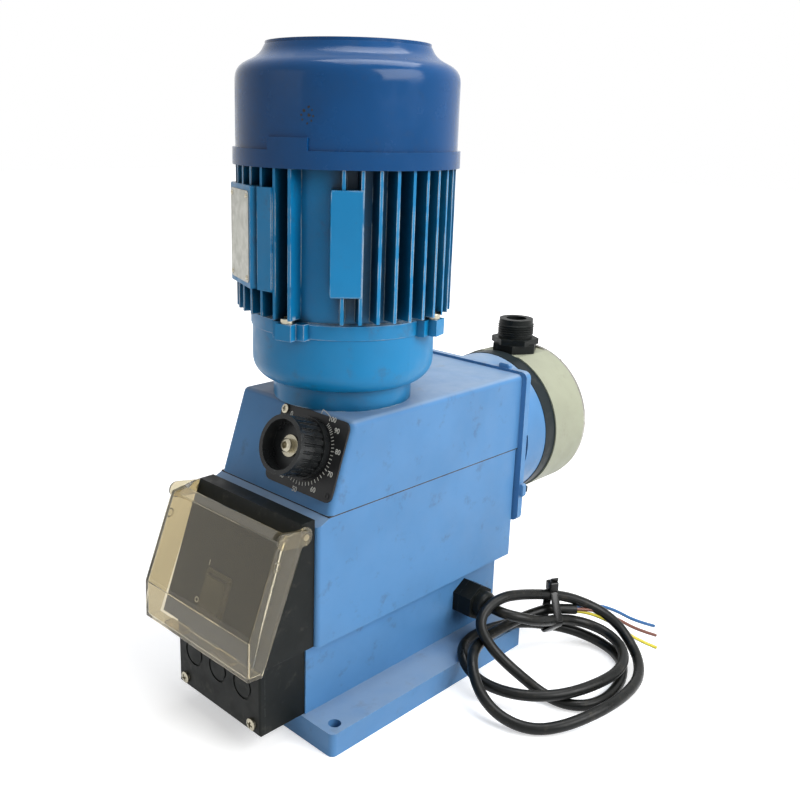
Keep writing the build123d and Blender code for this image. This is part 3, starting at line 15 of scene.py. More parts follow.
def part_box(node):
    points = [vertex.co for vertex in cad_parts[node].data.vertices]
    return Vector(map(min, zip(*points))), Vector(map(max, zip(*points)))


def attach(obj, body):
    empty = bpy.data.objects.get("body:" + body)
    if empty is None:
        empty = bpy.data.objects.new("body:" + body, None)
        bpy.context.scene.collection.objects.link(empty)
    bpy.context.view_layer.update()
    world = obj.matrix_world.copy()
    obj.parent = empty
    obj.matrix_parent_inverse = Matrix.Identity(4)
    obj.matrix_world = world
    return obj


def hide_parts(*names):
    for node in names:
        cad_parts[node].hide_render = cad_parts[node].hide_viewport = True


MM = 0.001
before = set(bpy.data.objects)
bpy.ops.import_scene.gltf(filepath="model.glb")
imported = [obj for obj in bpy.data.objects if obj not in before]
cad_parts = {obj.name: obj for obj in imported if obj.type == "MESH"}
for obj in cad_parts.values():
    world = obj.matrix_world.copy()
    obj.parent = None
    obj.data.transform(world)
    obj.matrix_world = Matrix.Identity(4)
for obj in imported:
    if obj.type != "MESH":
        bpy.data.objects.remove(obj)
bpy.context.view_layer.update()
scene = bpy.context.scene
scene.view_settings.view_transform = "Standard"

# ---------------------------------------------------------------- camera

# Fitted to the edges and corners in the photograph. Pixels are those of its 800 by 800 picture.
picture = 800
camera_place = Vector((427.8, -441.4, 377.4))
camera_azimuth = math.radians(45.077)
camera_elevation = math.radians(15.278)
camera_roll = math.radians(1.238)
focal_pixels = 938.84
centre_x = 354.45
centre_y = 379.31

back = Vector(
    (
        math.sin(camera_azimuth) * math.cos(camera_elevation),
        -math.cos(camera_azimuth) * math.cos(camera_elevation),
        math.sin(camera_elevation),
    )
)
level = Vector((math.cos(camera_azimuth), math.sin(camera_azimuth), 0))
upward = back.cross(level)
right = level * math.cos(camera_roll) + upward * math.sin(camera_roll)
over = upward * math.cos(camera_roll) - level * math.sin(camera_roll)

lens = bpy.data.cameras.new("camera")
lens.sensor_width = 36
lens.lens = focal_pixels / picture * lens.sensor_width
lens.shift_x = (picture / 2 - centre_x) / picture
lens.shift_y = (centre_y - picture / 2) / picture
lens.clip_start = 0.01
lens.clip_end = 20
camera = bpy.data.objects.new("camera", lens)
camera_turn = Matrix((right, over, back)).transposed().to_4x4()
camera.matrix_world = Matrix.Translation(camera_place * MM) @ camera_turn
scene.collection.objects.link(camera)
scene.camera = camera

# ---------------------------------------------------------------- finishes


def srgb(red, green, blue):
    """A display colour, 0 to 255, as the linear colour that a shader takes."""

    def linear(value):
        share = value / 255
        return share / 12.92 if share <= 0.04045 else ((share + 0.055) / 1.055) ** 2.4

    return (linear(red), linear(green), linear(blue), 1.0)


class Finish:
    """A material and the nodes that vary it over the surface."""

    def __init__(self, name, colour, rough=0.5, metallic=0.0, shine=0.5):
        self.material = bpy.data.materials.new(name)
        self.material.use_nodes = True
        self.tree = self.material.node_tree
        self.shader = self.tree.nodes["Principled BSDF"]
        self.shader.inputs["Base Color"].default_value = colour
        self.shader.inputs["Roughness"].default_value = rough
        self.shader.inputs["Metallic"].default_value = metallic
        self.shader.inputs["Specular IOR Level"].default_value = shine
        self.place = self.node("ShaderNodeTexCoord").outputs["Object"]
        self.colour = colour
        self.rough = rough

    def node(self, kind, **settings):
        made = self.tree.nodes.new(kind)
        for name, value in settings.items():
            setattr(made, name, value)
        return made

    def put(self, value, socket):
        """Gives a socket a node's output, or a plain value."""
        if isinstance(value, bpy.types.NodeSocket):
            self.tree.links.new(value, socket)
        else:
            socket.default_value = value

    def noise(self, size, detail=4.0, stretch=(1, 1, 1), lumpy=0.55):
        """Noise whose lumps are about size millimetres across."""
        spread = self.node("ShaderNodeMapping")
        self.put(self.place, spread.inputs["Vector"])
        spread.inputs["Scale"].default_value = [share / (size * MM) for share in stretch]
        made = self.node("ShaderNodeTexNoise")
        self.put(spread.outputs["Vector"], made.inputs["Vector"])
        made.inputs["Scale"].default_value = 1.0
        made.inputs["Detail"].default_value = detail
        made.inputs["Roughness"].default_value = lumpy
        return made.outputs["Fac"]

    def between(self, value, low, high, start=0.0, end=1.0):
        """Start where value is below low, end where it is above high, and smooth between."""
        made = self.node("ShaderNodeMapRange", interpolation_type="SMOOTHSTEP")
        self.put(value, made.inputs["Value"])
        made.inputs["From Min"].default_value = low
        made.inputs["From Max"].default_value = high
        made.inputs["To Min"].default_value = start
        made.inputs["To Max"].default_value = end
        return made.outputs["Result"]

    def combine(self, first, second=0.0, operation="MULTIPLY"):
        """Two values through one math node, multiplied unless another operation is named."""
        made = self.node("ShaderNodeMath", operation=operation)
        self.put(first, made.inputs[0])
        self.put(second, made.inputs[1])
        return made.outputs[0]

    def mix(self, share, first, second):
        """The first colour where share is 0, and the second where it is 1."""
        made = self.node("ShaderNodeMix", data_type="RGBA")
        self.put(share, made.inputs["Factor"])
        self.put(first, made.inputs["A"])
        self.put(second, made.inputs["B"])
        return made.outputs["Result"]

    def cover(self, share, colour):
        """Lays a second colour over what is there."""
        self.colour = self.mix(share, self.colour, colour)
        self.put(self.colour, self.shader.inputs["Base Color"])

    def vary(self, size, amount, shade=0.7):
        """Soft clouds of a darker shade of the same colour."""
        colour = self.colour
        cloud = self.combine(self.between(self.noise(size), 0.38, 0.66), amount)
        darker = tuple(channel * shade for channel in colour[:3]) + (1.0,)
        self.cover(cloud, darker)

    def stains(self, size, amount, colour, low=0.56, high=0.72):
        """Patches of another colour where the noise is over low, full from high up."""
        patch = self.between(self.noise(size, 8, lumpy=0.65), low, high)
        self.cover(self.combine(patch, amount), colour)

    def gloss(self, size, spread):
        """Roughness that wanders round its own value."""
        cloud = self.between(self.noise(size, 5), 0.3, 0.7, self.rough - spread, self.rough + spread)
        self.put(cloud, self.shader.inputs["Roughness"])

    def edges(self, width, colour, amount=1.0, broken=4.0):
        """Wear along sharp edges, broken up by noise."""
        rounded = self.node("ShaderNodeBevel", samples=4)
        rounded.inputs["Radius"].default_value = width * MM
        plain = self.node("ShaderNodeNewGeometry")
        turn = self.node("ShaderNodeVectorMath", operation="DOT_PRODUCT")
        self.put(rounded.outputs["Normal"], turn.inputs[0])
        self.put(plain.outputs["Normal"], turn.inputs[1])
        edge = self.between(turn.outputs["Value"], 0.80, 0.97, 1.0, 0.0)
        patch = self.between(self.noise(broken, 6), 0.42, 0.56)
        self.cover(self.combine(self.combine(edge, patch), amount), colour)

    def settled(self, amount):
        """Dust on the faces that look up."""
        plain = self.node("ShaderNodeNewGeometry")
        apart = self.node("ShaderNodeSeparateXYZ")
        self.put(plain.outputs["Normal"], apart.inputs[0])
        flat = self.between(apart.outputs["Z"], 0.5, 0.9)
        cloud = self.between(self.noise(35, 7), 0.25, 0.65, amount * 0.55, amount)
        self.cover(self.combine(flat, cloud), srgb(182, 186, 184))

    def crevices(self, reach, colour, amount):
        """Painted shade: the colour darkened deep between fins and in corners."""
        hollow = self.node("ShaderNodeAmbientOcclusion", samples=6)
        hollow.inputs["Distance"].default_value = reach * MM
        deep = self.between(hollow.outputs["AO"], 0.22, 0.86, 1.0, 0.0)
        self.cover(self.combine(deep, amount), colour)

    def bump(self, size, height, detail=3.0, stretch=(1, 1, 1)):
        """A relief of the given size and height, in millimetres."""
        made = self.node("ShaderNodeBump")
        made.inputs["Strength"].default_value = 1.0
        made.inputs["Distance"].default_value = height * MM
        self.put(self.noise(size, detail, stretch), made.inputs["Height"])
        self.put(made.outputs["Normal"], self.shader.inputs["Normal"])


def painted(
    name, colour, rough, wear, grime, worn, peel=0.6, shine=0.3, broken=4.0, width=0.9, shade=0.0, dust=0.0
):
    """Sprayed enamel over a casting: mottled, grimy in places and worn at its edges.

    Wear is the colour of a worn edge, worn its amount, width its reach and broken the size of its gaps. Shade
    is the amount of painted shade that darkens crevices.
    """
    made = Finish(name, colour, rough, shine=shine)
    made.vary(60, 0.5, 0.82)
    made.stains(14, grime, srgb(64, 62, 56))
    made.stains(2.2, grime * 0.8, srgb(40, 42, 44), 0.66, 0.74)
    # Painted shade: crevices darkened towards near-black of the base colour.
    if shade:
        made.crevices(20, tuple(channel * 0.05 for channel in colour[:3]) + (1.0,), shade)
    if dust:
        made.settled(dust)
    made.edges(width, wear, worn, broken)
    made.gloss(18, 0.09)
    made.bump(peel, 0.012)
    return made.material


def moulded(name, colour, rough, grain=0.35, dust=0.12, worn=0.25, shine=0.3):
    """Injection-moulded plastic with a fine grain, a little dust and dulled edges."""
    made = Finish(name, colour, rough, shine=shine)
    made.vary(40, 0.4, 0.8)
    made.stains(9, dust, srgb(120, 116, 104), 0.55, 0.75)
    made.edges(0.6, srgb(120, 122, 120), worn, 3.0)
    made.gloss(12, 0.08)
    made.bump(grain, 0.008)
    return made.material


def metal(name, colour, rough, brushed=(1, 1, 1)):
    """Bare metal with tool marks along one direction and a little tarnish."""
    made = Finish(name, colour, rough, 1.0)
    made.vary(12, 0.5, 0.75)
    made.stains(5, 0.3, srgb(96, 84, 66))
    made.gloss(6, 0.1)
    made.bump(0.5, 0.008, 2.0, brushed)
    return made.material


def rubbery(name, colour, rough, dust=0.2, shine=0.5):
    """Rubber, soft insulation or print: matt, uneven and a little dusty."""
    made = Finish(name, colour, rough, shine=shine)
    made.vary(25, 0.5, 0.7)
    made.stains(6, dust, srgb(104, 96, 80), 0.52, 0.72)
    made.gloss(9, 0.08)
    made.bump(0.6, 0.02)
    return made.material


def clear(name, colour, rough):
    """Clear moulded plastic, faintly yellowed, scratched and smeared."""
    made = Finish(name, colour, rough)
    made.shader.inputs["Transmission Weight"].default_value = 0.97
    made.shader.inputs["IOR"].default_value = 1.45
    smear = made.between(made.noise(16, 8, (1, 1, 0.35)), 0.56, 0.76, rough, rough + 0.07)
    made.put(smear, made.shader.inputs["Roughness"])
    made.bump(40, 0.02, 2.0)
    # Shadow and diffuse rays pass almost freely, so that the panel underneath is lit.
    path = made.node("ShaderNodeLightPath")
    passing = made.combine(path.outputs["Is Shadow Ray"], path.outputs["Is Diffuse Ray"], "MAXIMUM")
    share = made.between(passing, 0, 1, 1.0, 0.12)
    made.put(share, made.shader.inputs["Alpha"])
    return made.material


finishes = {
    "box_blue": painted(
        "box_blue", srgb(80, 131, 180), 0.42, srgb(150, 180, 205), grime=0.3, worn=0.35, dust=0.32
    ),
    "motor_blue": painted(
        "motor_blue",
        srgb(10, 122, 176),
        0.38,
        srgb(176, 190, 198),
        grime=0.28,
        worn=1.0,
        broken=22.0,
        width=1.2,
        # painted shade between the fins
        shade=0.92,
    ),
    "cowl_blue": painted(
        "cowl_blue", srgb(8, 68, 120), 0.2, srgb(70, 110, 150), grime=0.15, worn=0.2, peel=6.0, shine=0.2
    ),
    "box_black": moulded("box_black", srgb(20, 23, 22), 0.45, grain=0.6, shine=0.14),
    "switch_dark": moulded("switch_dark", srgb(66, 63, 48), 0.35, worn=0.5),
    "dial_black": moulded("dial_black", srgb(20, 21, 22), 0.42, dust=0.06, worn=0.1),
    "knob_black": moulded("knob_black", srgb(26, 28, 29), 0.3, dust=0.1, worn=0.35),
    "grey_pvc": moulded("grey_pvc", srgb(26, 35, 38), 0.45, worn=0.1, shine=0.15),
    "cream_pp": moulded("cream_pp", srgb(156, 159, 139), 0.5, grain=0.8, dust=0.3, worn=0.0),
    "steel": metal("steel", srgb(168, 166, 160), 0.3),
    "zinc": metal("zinc", srgb(176, 170, 152), 0.28),
    "dark_steel": metal("dark_steel", srgb(112, 112, 114), 0.4),
    "bronze": metal("bronze", srgb(196, 150, 86), 0.35),
    "copper": metal("copper", srgb(200, 116, 70), 0.4, brushed=(1, 1, 0.2)),
    "rubber": rubbery("rubber", srgb(30, 31, 31), 0.6),
    "sheath": rubbery("sheath", srgb(14, 16, 15), 0.34, dust=0.14, shine=0.22),
    "tie_black": moulded("tie_black", srgb(14, 15, 15), 0.2, worn=0.2, dust=0.05),
    "ptfe": moulded("ptfe", srgb(226, 226, 220), 0.5, worn=0.0),
    "ceramic": moulded("ceramic", srgb(224, 222, 214), 0.2, dust=0.02, worn=0.0),
    "board": moulded("board", srgb(30, 96, 58), 0.4, grain=1.2, dust=0.1),
    "block": moulded("block", srgb(214, 212, 200), 0.5, worn=0.0),
    "blue_core": rubbery("blue_core", srgb(24, 92, 148), 0.38, dust=0.1),
    "brown_core": rubbery("brown_core", srgb(112, 62, 46), 0.38, dust=0.1),
    "print_white": rubbery("print_white", srgb(214, 214, 206), 0.6, dust=0.1),
    "plate": metal("plate", srgb(168, 168, 160), 0.45, brushed=(1, 1, 12)),
    "clear": clear("clear", (0.67, 0.60, 0.43, 1.0), 0.0),
}

# A node that a piece replaces further down has a finish too, which doesn't show.
node_finish = {
    "box_blue": "gearbox_housing top_cover lantern_flange",
    "motor_blue": "motor_adapter end_shield motor_frame rear_end_shield",
    "cowl_blue": "fan_cowl",
    "switch_dark": "switch_frame switch_rocker",
    "box_black": "control_box terminal_box terminal_lid cooling_fan "
    "discharge_connector suction_connector cable_gland gland_nut cable_tie",
    "dial_black": "scale_plate",
    "knob_black": "stroke_knob",
    "grey_pvc": "backing_ring discharge_seat suction_seat",
    "cream_pp": "pump_head",
    "steel": "head_end_plate motor_bearings motor_shaft gear_shaft_bearings gear_shaft cam_roller push_rod "
    "diaphragm_core return_spring stop_spindle",
    "zinc": "scale_screws head_bolts shield_screws lid_screws hinge_pins knob_screw",
    "dark_steel": "stator_core rotor_core worm",
    "bronze": "worm_wheel rod_bush",
    "copper": "stator_windings",
    "rubber": "cover_seal",
    "sheath": "cable_tail cable_coil cable_end",
    "ptfe": "diaphragm",
    "ceramic": "discharge_ball suction_ball",
    "board": "circuit_board",
    "block": "terminal_block",
    "blue_core": "core_blue",
    "brown_core": "core_brown core_green_yellow",
    "clear": "clear_cover",
}
for finish, names in node_finish.items():
    for name in names.split():
        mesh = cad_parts[name].data
        mesh.materials.clear()
        mesh.materials.append(finishes[finish])

# ---------------------------------------------------------------- making pieces


def piece(name, mesh, material, body, smooth=40):
    """Puts a bmesh into the scene as a piece that rides on a body."""
    data = bpy.data.meshes.new(name)
    bmesh.ops.recalc_face_normals(mesh, faces=mesh.faces)
    mesh.to_mesh(data)
    mesh.free()
    data.materials.append(material)
    made = bpy.data.objects.new(name, data)
    scene.collection.objects.link(made)
    if smooth:
        data.shade_smooth()
        data.set_sharp_from_angle(angle=math.radians(smooth))
    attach(made, body)
    return made


def face_frame(origin, across, outward):
    """A frame on a face: x across it, y up it and z out of it. The origin is in millimetres."""
    out = Vector(outward).normalized()
    x = Vector(across).normalized()
    y = out.cross(x)
    turn = Matrix((x, y, out)).transposed().to_4x4()
    return Matrix.Translation(Vector(origin) * MM) @ turn


def circle(mesh, where, radius, height, segments):
    """A ring of vertices round the z axis of a frame."""
    ring = []
    for step in range(segments):
        angle = 2 * math.pi * step / segments
        place = Vector((radius * math.cos(angle), radius * math.sin(angle), height)) * MM
        ring.append(mesh.verts.new(where @ place))
    return ring


def band(mesh, first, second):
    """Joins two rings of vertices by a closed row of faces."""
    for step in range(len(first)):
        after = (step + 1) % len(first)
        mesh.faces.new((first[step], first[after], second[after], second[step]))


def lathe(mesh, where, profile, segments=48):
    """Turns (radius, height) points, in millimetres, round the z axis of a frame."""
    rings = [circle(mesh, where, radius, height, segments) for radius, height in profile]
    for low, high in zip(rings, rings[1:]):
        band(mesh, low, high)


def sheet(mesh, where, outline, low, high, ease=0.15):
    """A flat plate with the given outline, from height low to high, its upper edge eased."""
    middle = Vector((sum(p[0] for p in outline), sum(p[1] for p in outline))) / len(outline)
    rows = []
    for height, inset in ((low, 0), (high - ease, 0), (high, ease)):
        row = []
        for x, y in outline:
            away = Vector((x, y)) - middle
            place = Vector((x, y)) - away.normalized() * inset
            row.append(mesh.verts.new(where @ (Vector((place.x, place.y, height)) * MM)))
        rows.append(row)
    for first, second in zip(rows, rows[1:]):
        band(mesh, first, second)
    mesh.faces.new(rows[-1])
    mesh.faces.new(list(reversed(rows[0])))


def rounded(width, height, radius, steps=6):
    """The outline of a rectangle with rounded corners, round its own middle."""
    points = []
    for quarter, (side_x, side_y) in enumerate(((1, 1), (-1, 1), (-1, -1), (1, -1))):
        for step in range(steps + 1):
            angle = math.pi / 2 * (quarter + step / steps)
            x = side_x * (width / 2 - radius) + radius * math.cos(angle)
            y = side_y * (height / 2 - radius) + radius * math.sin(angle)
            points.append((x, y))
    return points


# ---------------------------------------------------------------- cable

cable_d = 7.5
core_d = 2.4
# Out of the gland, down beside the foot, three turns through the tie, and the stripped end.
cable_route = (
    (64, 60.5, 43),
    (72, 60.5, 43),
    (81, 62.5, 42),
    (88, 69, 40),
    (93, 79, 36),
    (95, 91, 31.5),
    (94, 103, 27.5),
    (95, 114, 24.5),
    (99, 125, 21),
    (107, 134, 17.5),
    (120, 138, 14.5),
    (135, 132, 12.5),
    (146, 118, 12),
    (151, 99, 12),
    (149, 78, 12),
    (143, 56, 12),
    (134, 40, 12),
    (122, 28, 12),
    (107, 22, 11.5),
    (92, 20.5, 12),
    (80, 21.5, 16),
    (71.5, 26, 20.5),
    (65.5, 34, 21),
    (61.5, 45, 20.5),
    (60.5, 58, 20.3),
    (63, 71, 20.5),
    (68, 85, 20.8),
    (75, 99, 19),
    (82, 112, 15.5),
    (91, 124, 12),
    (102, 133, 8),
    (115, 137, 5),
    (128, 134.5, 4),
    (141, 125, 4),
    (150, 109, 4),
    (155, 91, 4),
    (156, 74, 4),
    (151, 59, 4),
    (139, 50.5, 4),
    (124, 49, 5),
    (110, 47, 10.5),
    (98, 42, 19),
    (88, 37, 29),
    (78, 37, 38.5),
    (74, 42, 45),
    (73, 53, 50),
    (75, 67, 52),
    (78, 82, 49.5),
    (82, 97, 46),
    (86, 110, 42.5),
    (92, 123, 38.5),
    (100, 135, 32.5),
    (111, 144, 26),
    (124, 147, 18.5),
    (138, 141, 12),
    (151, 130, 8),
    (161, 112, 7),
    (165.5, 90, 8),
    (166, 67, 9),
    (162, 46, 8),
    (155, 28, 6),
    (145, 15, 4),
    (133, 7, 5),
    (119, 3.8, 8),
    (106, 5, 13.5),
    (95, 10, 20.5),
    (86, 18, 26.5),
    (79.5, 30, 28),
    (76, 46, 28),
    (75.5, 63, 28),
    (77, 80, 29),
    (80.5, 95, 30),
    (85, 108, 31),
    (91, 118, 30),
    (98, 127, 29),
)
core_routes = {
    "blue": (
        (95, 124.9, 30),
        (100.5, 134.5, 29.3),
        (105, 149, 27),
        (112, 163, 20),
        (121, 178, 9),
        (129, 194, 2),
    ),
    "brown": (
        (97.1, 123.4, 30),
        (103.5, 132.5, 29.3),
        (111, 145, 25),
        (119, 157, 17),
        (128, 169, 8),
        (137, 182, 2),
    ),
    "green_yellow": (
        (95.9, 124, 27.9),
        (102.5, 133, 26.5),
        (113, 142, 22),
        (124, 150, 15),
        (135, 157, 7),
        (146, 166, 2),
    ),
}


def spline_curve(name, route):
    """A smooth open curve that takes the route as its control points."""
    curve = bpy.data.curves.new(name, "CURVE")
    curve.dimensions = "3D"
    spline = curve.splines.new("NURBS")
    spline.points.add(len(route) - 1)
    for point, place in zip(spline.points, route):
        point.co = (place[0] * MM, place[1] * MM, place[2] * MM, 1)
    spline.order_u = 3
    spline.use_endpoint_u = True
    curve.resolution_u = 10
    return curve


def round_cord(name, route, diameter, material):
    """A round cord along a route, as one open spline."""
    curve = spline_curve(name, route)
    curve.bevel_depth = diameter / 2 * MM
    curve.bevel_resolution = 7
    curve.use_fill_caps = True
    curve.materials.append(material)
    made = bpy.data.objects.new(name, curve)
    scene.collection.objects.link(made)
    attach(made, "pump")
    return made


def striped_core():
    """Yellow insulation with two green stripes along it."""
    made = Finish("green_yellow_core", srgb(206, 190, 32), 0.38)
    around = made.node("ShaderNodeSeparateXYZ")
    made.put(made.node("ShaderNodeTexCoord").outputs["UV"], around.inputs[0])
    wave = made.combine(around.outputs["Y"], 4 * math.pi)
    stripe = made.between(made.combine(wave, operation="SINE"), 0.25, 0.4)
    made.cover(stripe, srgb(44, 120, 52))
    made.gloss(8, 0.08)
    made.bump(0.6, 0.01)
    return made.material


finishes["green_yellow_core"] = striped_core()
supply_cable = round_cord("supply_cable", cable_route, cable_d, finishes["sheath"])
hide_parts("cable_tail", "cable_coil", "cable_end")

# The tie: a strap drawn round the four runs that cross its plane, with its head on top. Each run
# is given by where its middle is, across the plane and up it.
tie_along = Vector((math.cos(math.radians(62)), math.sin(math.radians(62)), 0))
tie_across = Vector((tie_along.y, -tie_along.x, 0))
tie_middle = Vector((87.5, 110, 0))
top_run = (-1.2, 42.2)
tied_runs = ((7.7, 26.5), (-5.4, 15.2), top_run, (-1.0, 30.7))
tie_w = 6.0
tie_t = 1.3
tie_gap = 0.25
tie_lift = 1.2
tie_head_h = 6.2


def strap_point(reach, turn):
    """The point furthest out in one direction, on circles of the given radius round the tied runs."""
    way = Vector((math.cos(turn), math.sin(turn)))
    run = max(tied_runs, key=lambda place: Vector(place).dot(way))
    return Vector(run) + way * reach


tie = bmesh.new()
strap_steps = 72
strap = []
for step in range(strap_steps):
    turn = 2 * math.pi * step / strap_steps
    ring = []
    for reach, along in ((0, -1), (0, 1), (0.85, 1), (1, 0.86), (1, -0.86), (0.85, -1)):
        place = strap_point(cable_d / 2 + tie_gap + reach * tie_t, turn)
        spot = tie_middle + tie_across * place.x + Vector((0, 0, place.y)) + tie_along * along * tie_w / 2
        ring.append(tie.verts.new(spot * MM))
    strap.append(ring)
for step, ring in enumerate(strap):
    band(tie, ring, strap[(step + 1) % strap_steps])
tie_head = tie_middle + tie_across * top_run[0] + Vector((0, 0, top_run[1] + cable_d / 2 + tie_lift))
head_frame = face_frame(tie_head, tie_across, (0, 0, 1))
sheet(tie, head_frame, rounded(7.4, 7.4, 1.2), 0, tie_head_h, 0.5)
sheet(tie, head_frame, rounded(3.4, 5.4, 0.4), tie_head_h, tie_head_h + 0.7, 0.3)
tail_frame = face_frame(tie_head + tie_across * 0.4, tie_across, Vector((0, 0, 1)) + tie_across * 0.25)
sheet(tie, tail_frame, rounded(tie_t, tie_w, 0.3, 2), 6.0, 10.2, 0.15)
cable_tie = piece("cable_strap", tie, finishes["tie_black"], "pump", 35)
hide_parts("cable_tie")
for colour, route in core_routes.items():
    core = round_cord(f"{colour}_wire", route, core_d, finishes[f"{colour}_core"])
    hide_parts(f"core_{colour}")

# ---------------------------------------------------------------- pieces


def screw_head(mesh, where, radius, height, drive, shank_r, shank_len):
    """A pan head with a real recess: a height field over a disc, then its side and its shank."""
    rings = 22
    segments = 64

    def surface(x, y):
        away = math.hypot(x, y) / radius
        top = height * (1 - 0.28 * away**3)
        if drive == "cross":
            arm, reach = radius * 0.13, radius * 0.55
            inside = min(abs(x), abs(y)) < arm and max(abs(x), abs(y)) < reach
            return top - (height * 0.55 if inside else 0)
        if drive == "hex":
            sides = [math.radians(turn) for turn in (0, 60, 120)]
            apothem = max(abs(x * math.cos(side) + y * math.sin(side)) for side in sides)
            return top - (height * 0.6 if apothem < radius * 0.46 else 0)
        return top - (height * 0.45 if abs(y) < radius * 0.14 else 0)

    centre = mesh.verts.new(where @ (Vector((0, 0, surface(0, 0))) * MM))
    last = None
    for ring in range(1, rings + 1):
        reach = radius * ring / rings
        row = []
        for step in range(segments):
            angle = 2 * math.pi * step / segments
            x, y = reach * math.cos(angle), reach * math.sin(angle)
            row.append(mesh.verts.new(where @ (Vector((x, y, surface(x, y))) * MM)))
        if last:
            band(mesh, last, row)
        else:
            for step in range(segments):
                mesh.faces.new((centre, row[step], row[(step + 1) % segments]))
        last = row
    for reach, level_z in ((radius, 0), (shank_r, 0), (shank_r, -shank_len)):
        row = circle(mesh, where, reach, level_z, segments)
        band(mesh, last, row)
        last = row
    mesh.faces.new(last)


def lettering(name, text, size, where, material, body):
    """Flat printed characters on a face."""
    font = bpy.data.curves.new(name, "FONT")
    font.body = text
    font.size = size * MM
    font.align_x = "CENTER"
    font.align_y = "CENTER"
    font.extrude = 0.02 * MM
    font.offset = 0.07 * MM
    font.materials.append(material)
    made = bpy.data.objects.new(name, font)
    scene.collection.objects.link(made)
    made.matrix_world = where
    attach(made, body)


# The slanted face of the gearbox, and the panel of the control box.
slant_out = Vector((0, -55, 19)).normalized()
slant_down = Vector((0, -19, -55)).normalized()
slant_top = Vector((0, -67, 206))
knob_x = 21
knob_drop = 24
knob_centre = Vector((knob_x, 0, 0)) + slant_top + slant_down * knob_drop
panel_out = Vector((0, -84, 30.5)).normalized()
panel_down = Vector((0, -30.5, -84)).normalized()
panel_top = Vector((0, -105.5, 151))

# Dial: numbers, and a tick every two percent, clockwise from 100 at the upper right. The angles, in
# degrees, aren't even: they follow the photograph.
plate_t = 1.2
print_gap = 0.06
number_r = 26.6
number_size = 4.4
tick_low_r = 20.9
tick_high_r = 23.2
tick_width = 0.5
number_angles = {
    100: -55, 90: -37, 80: -9, 70: 22, 60: 58, 50: 93, 40: 126, 30: 157, 20: 184, 10: 205, 0: 220
}
print_t = 0.03
print_ease = 0.01
dial = face_frame(knob_centre + slant_out * (plate_t + print_gap), (1, 0, 0), slant_out)
for number, angle in number_angles.items():
    turn = math.radians(angle)
    spot = Matrix.Translation(Vector((math.cos(turn), -math.sin(turn), 0)) * number_r * MM)
    lettering(f"dial_{number}", str(number), number_size, dial @ spot, finishes["print_white"], "pump")

ticks = bmesh.new()
for number in range(0, 101, 2):
    tens = number // 10 * 10
    start = number_angles[tens]
    end = number_angles[min(100, tens + 10)]
    turn = -math.radians(start + (end - start) * (number - tens) / 10)
    spot = dial @ Matrix.Rotation(turn, 4, "Z")
    tick = (
        (tick_low_r, -tick_width / 2),
        (tick_high_r, -tick_width / 2),
        (tick_high_r, tick_width / 2),
        (tick_low_r, tick_width / 2),
    )
    sheet(ticks, spot, tick, 0, print_t, print_ease)
# The mark past 100: a short arc with a hook at its end.
mark_r = 26.4
mark_half = 0.3
mark_start = 60
mark_end = 78
hook_low_r = 23.6
arc = [(mark_r + mark_half, angle) for angle in range(mark_start, mark_end + 1, 3)]
arc += [(mark_r - mark_half, angle) for angle in range(mark_end, mark_start - 1, -3)]
bow = [(reach * math.cos(math.radians(angle)), reach * math.sin(math.radians(angle))) for reach, angle in arc]
sheet(ticks, dial, bow, 0, print_t, print_ease)
hook = (
    (hook_low_r, -mark_half),
    (mark_r, -mark_half),
    (mark_r, mark_half),
    (hook_low_r, mark_half),
)
hook_frame = dial @ Matrix.Rotation(math.radians(mark_end), 4, "Z")
sheet(ticks, hook_frame, hook, 0, print_t, print_ease)
piece("dial_ticks", ticks, finishes["print_white"], "pump")

# Markings of the mains switch: on above it and off below, both left of it.
switch_x = -5
mark_size = 5.0
for name, text, across, drop in (("mark_on", "I", -13, 46.5), ("mark_off", "O", -16, 72)):
    spot = Vector((switch_x + across, 0, 0)) + panel_top + panel_down * drop + panel_out * print_gap
    where = face_frame(spot, (1, 0, 0), panel_out)
    lettering(name, text, mark_size, where, finishes["print_white"], "pump")

# Threads of the two connectors, as far above the head's axis as below it.
head_y = (146 + 184) / 2
head_z = 151
thread_start = 65.4
thread_end = 78
thread_pitch = 1.8
thread_r = 13.2
thread_depth = 0.75
thread_sink = 0.15
# Half the ridge's width at its foot and at its crest, in pitches.
thread_foot = 0.46
thread_crest = 0.1


def thread(name, low, high):
    """A ridge that winds up from low to high, faded out at both ends."""
    mesh = bmesh.new()
    per_turn = 48
    fading = 20
    run_in = 0.6
    turns = (high - low) / thread_pitch - 2 * run_in
    count = int(turns * per_turn)
    last = None
    for step in range(count + 1):
        angle = 2 * math.pi * step / per_turn
        middle = low + thread_pitch * (run_in + step / per_turn)
        crest = thread_depth * min(1, step / fading, (count - step) / fading)
        ridge = (
            (-thread_sink, -thread_foot),
            (crest, -thread_crest),
            (crest, thread_crest),
            (-thread_sink, thread_foot),
        )
        row = []
        for reach, rise in ridge:
            radius = thread_r + reach
            x = radius * math.cos(angle)
            y = head_y + radius * math.sin(angle)
            row.append(mesh.verts.new(Vector((x, y, middle + rise * thread_pitch)) * MM))
        if last:
            for index in range(3):
                mesh.faces.new((last[index], last[index + 1], row[index + 1], row[index]))
        last = row
    piece(name, mesh, finishes["box_black"], "pump", 30)


thread("discharge_thread", head_z + thread_start, head_z + thread_end)
thread("suction_thread", head_z - thread_end, head_z - thread_start)

# ---------------------------------------------------------------- fasteners


def screws(name, material, slot, replaced, heads, **size):
    """Pan heads at the given frames, as one piece that stands for a CAD node where one is named."""
    mesh = bmesh.new()
    for where in heads:
        screw_head(mesh, where, **size)
    made = piece(name, mesh, finishes[material], "pump", 28)
    if replaced:
        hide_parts(replaced)


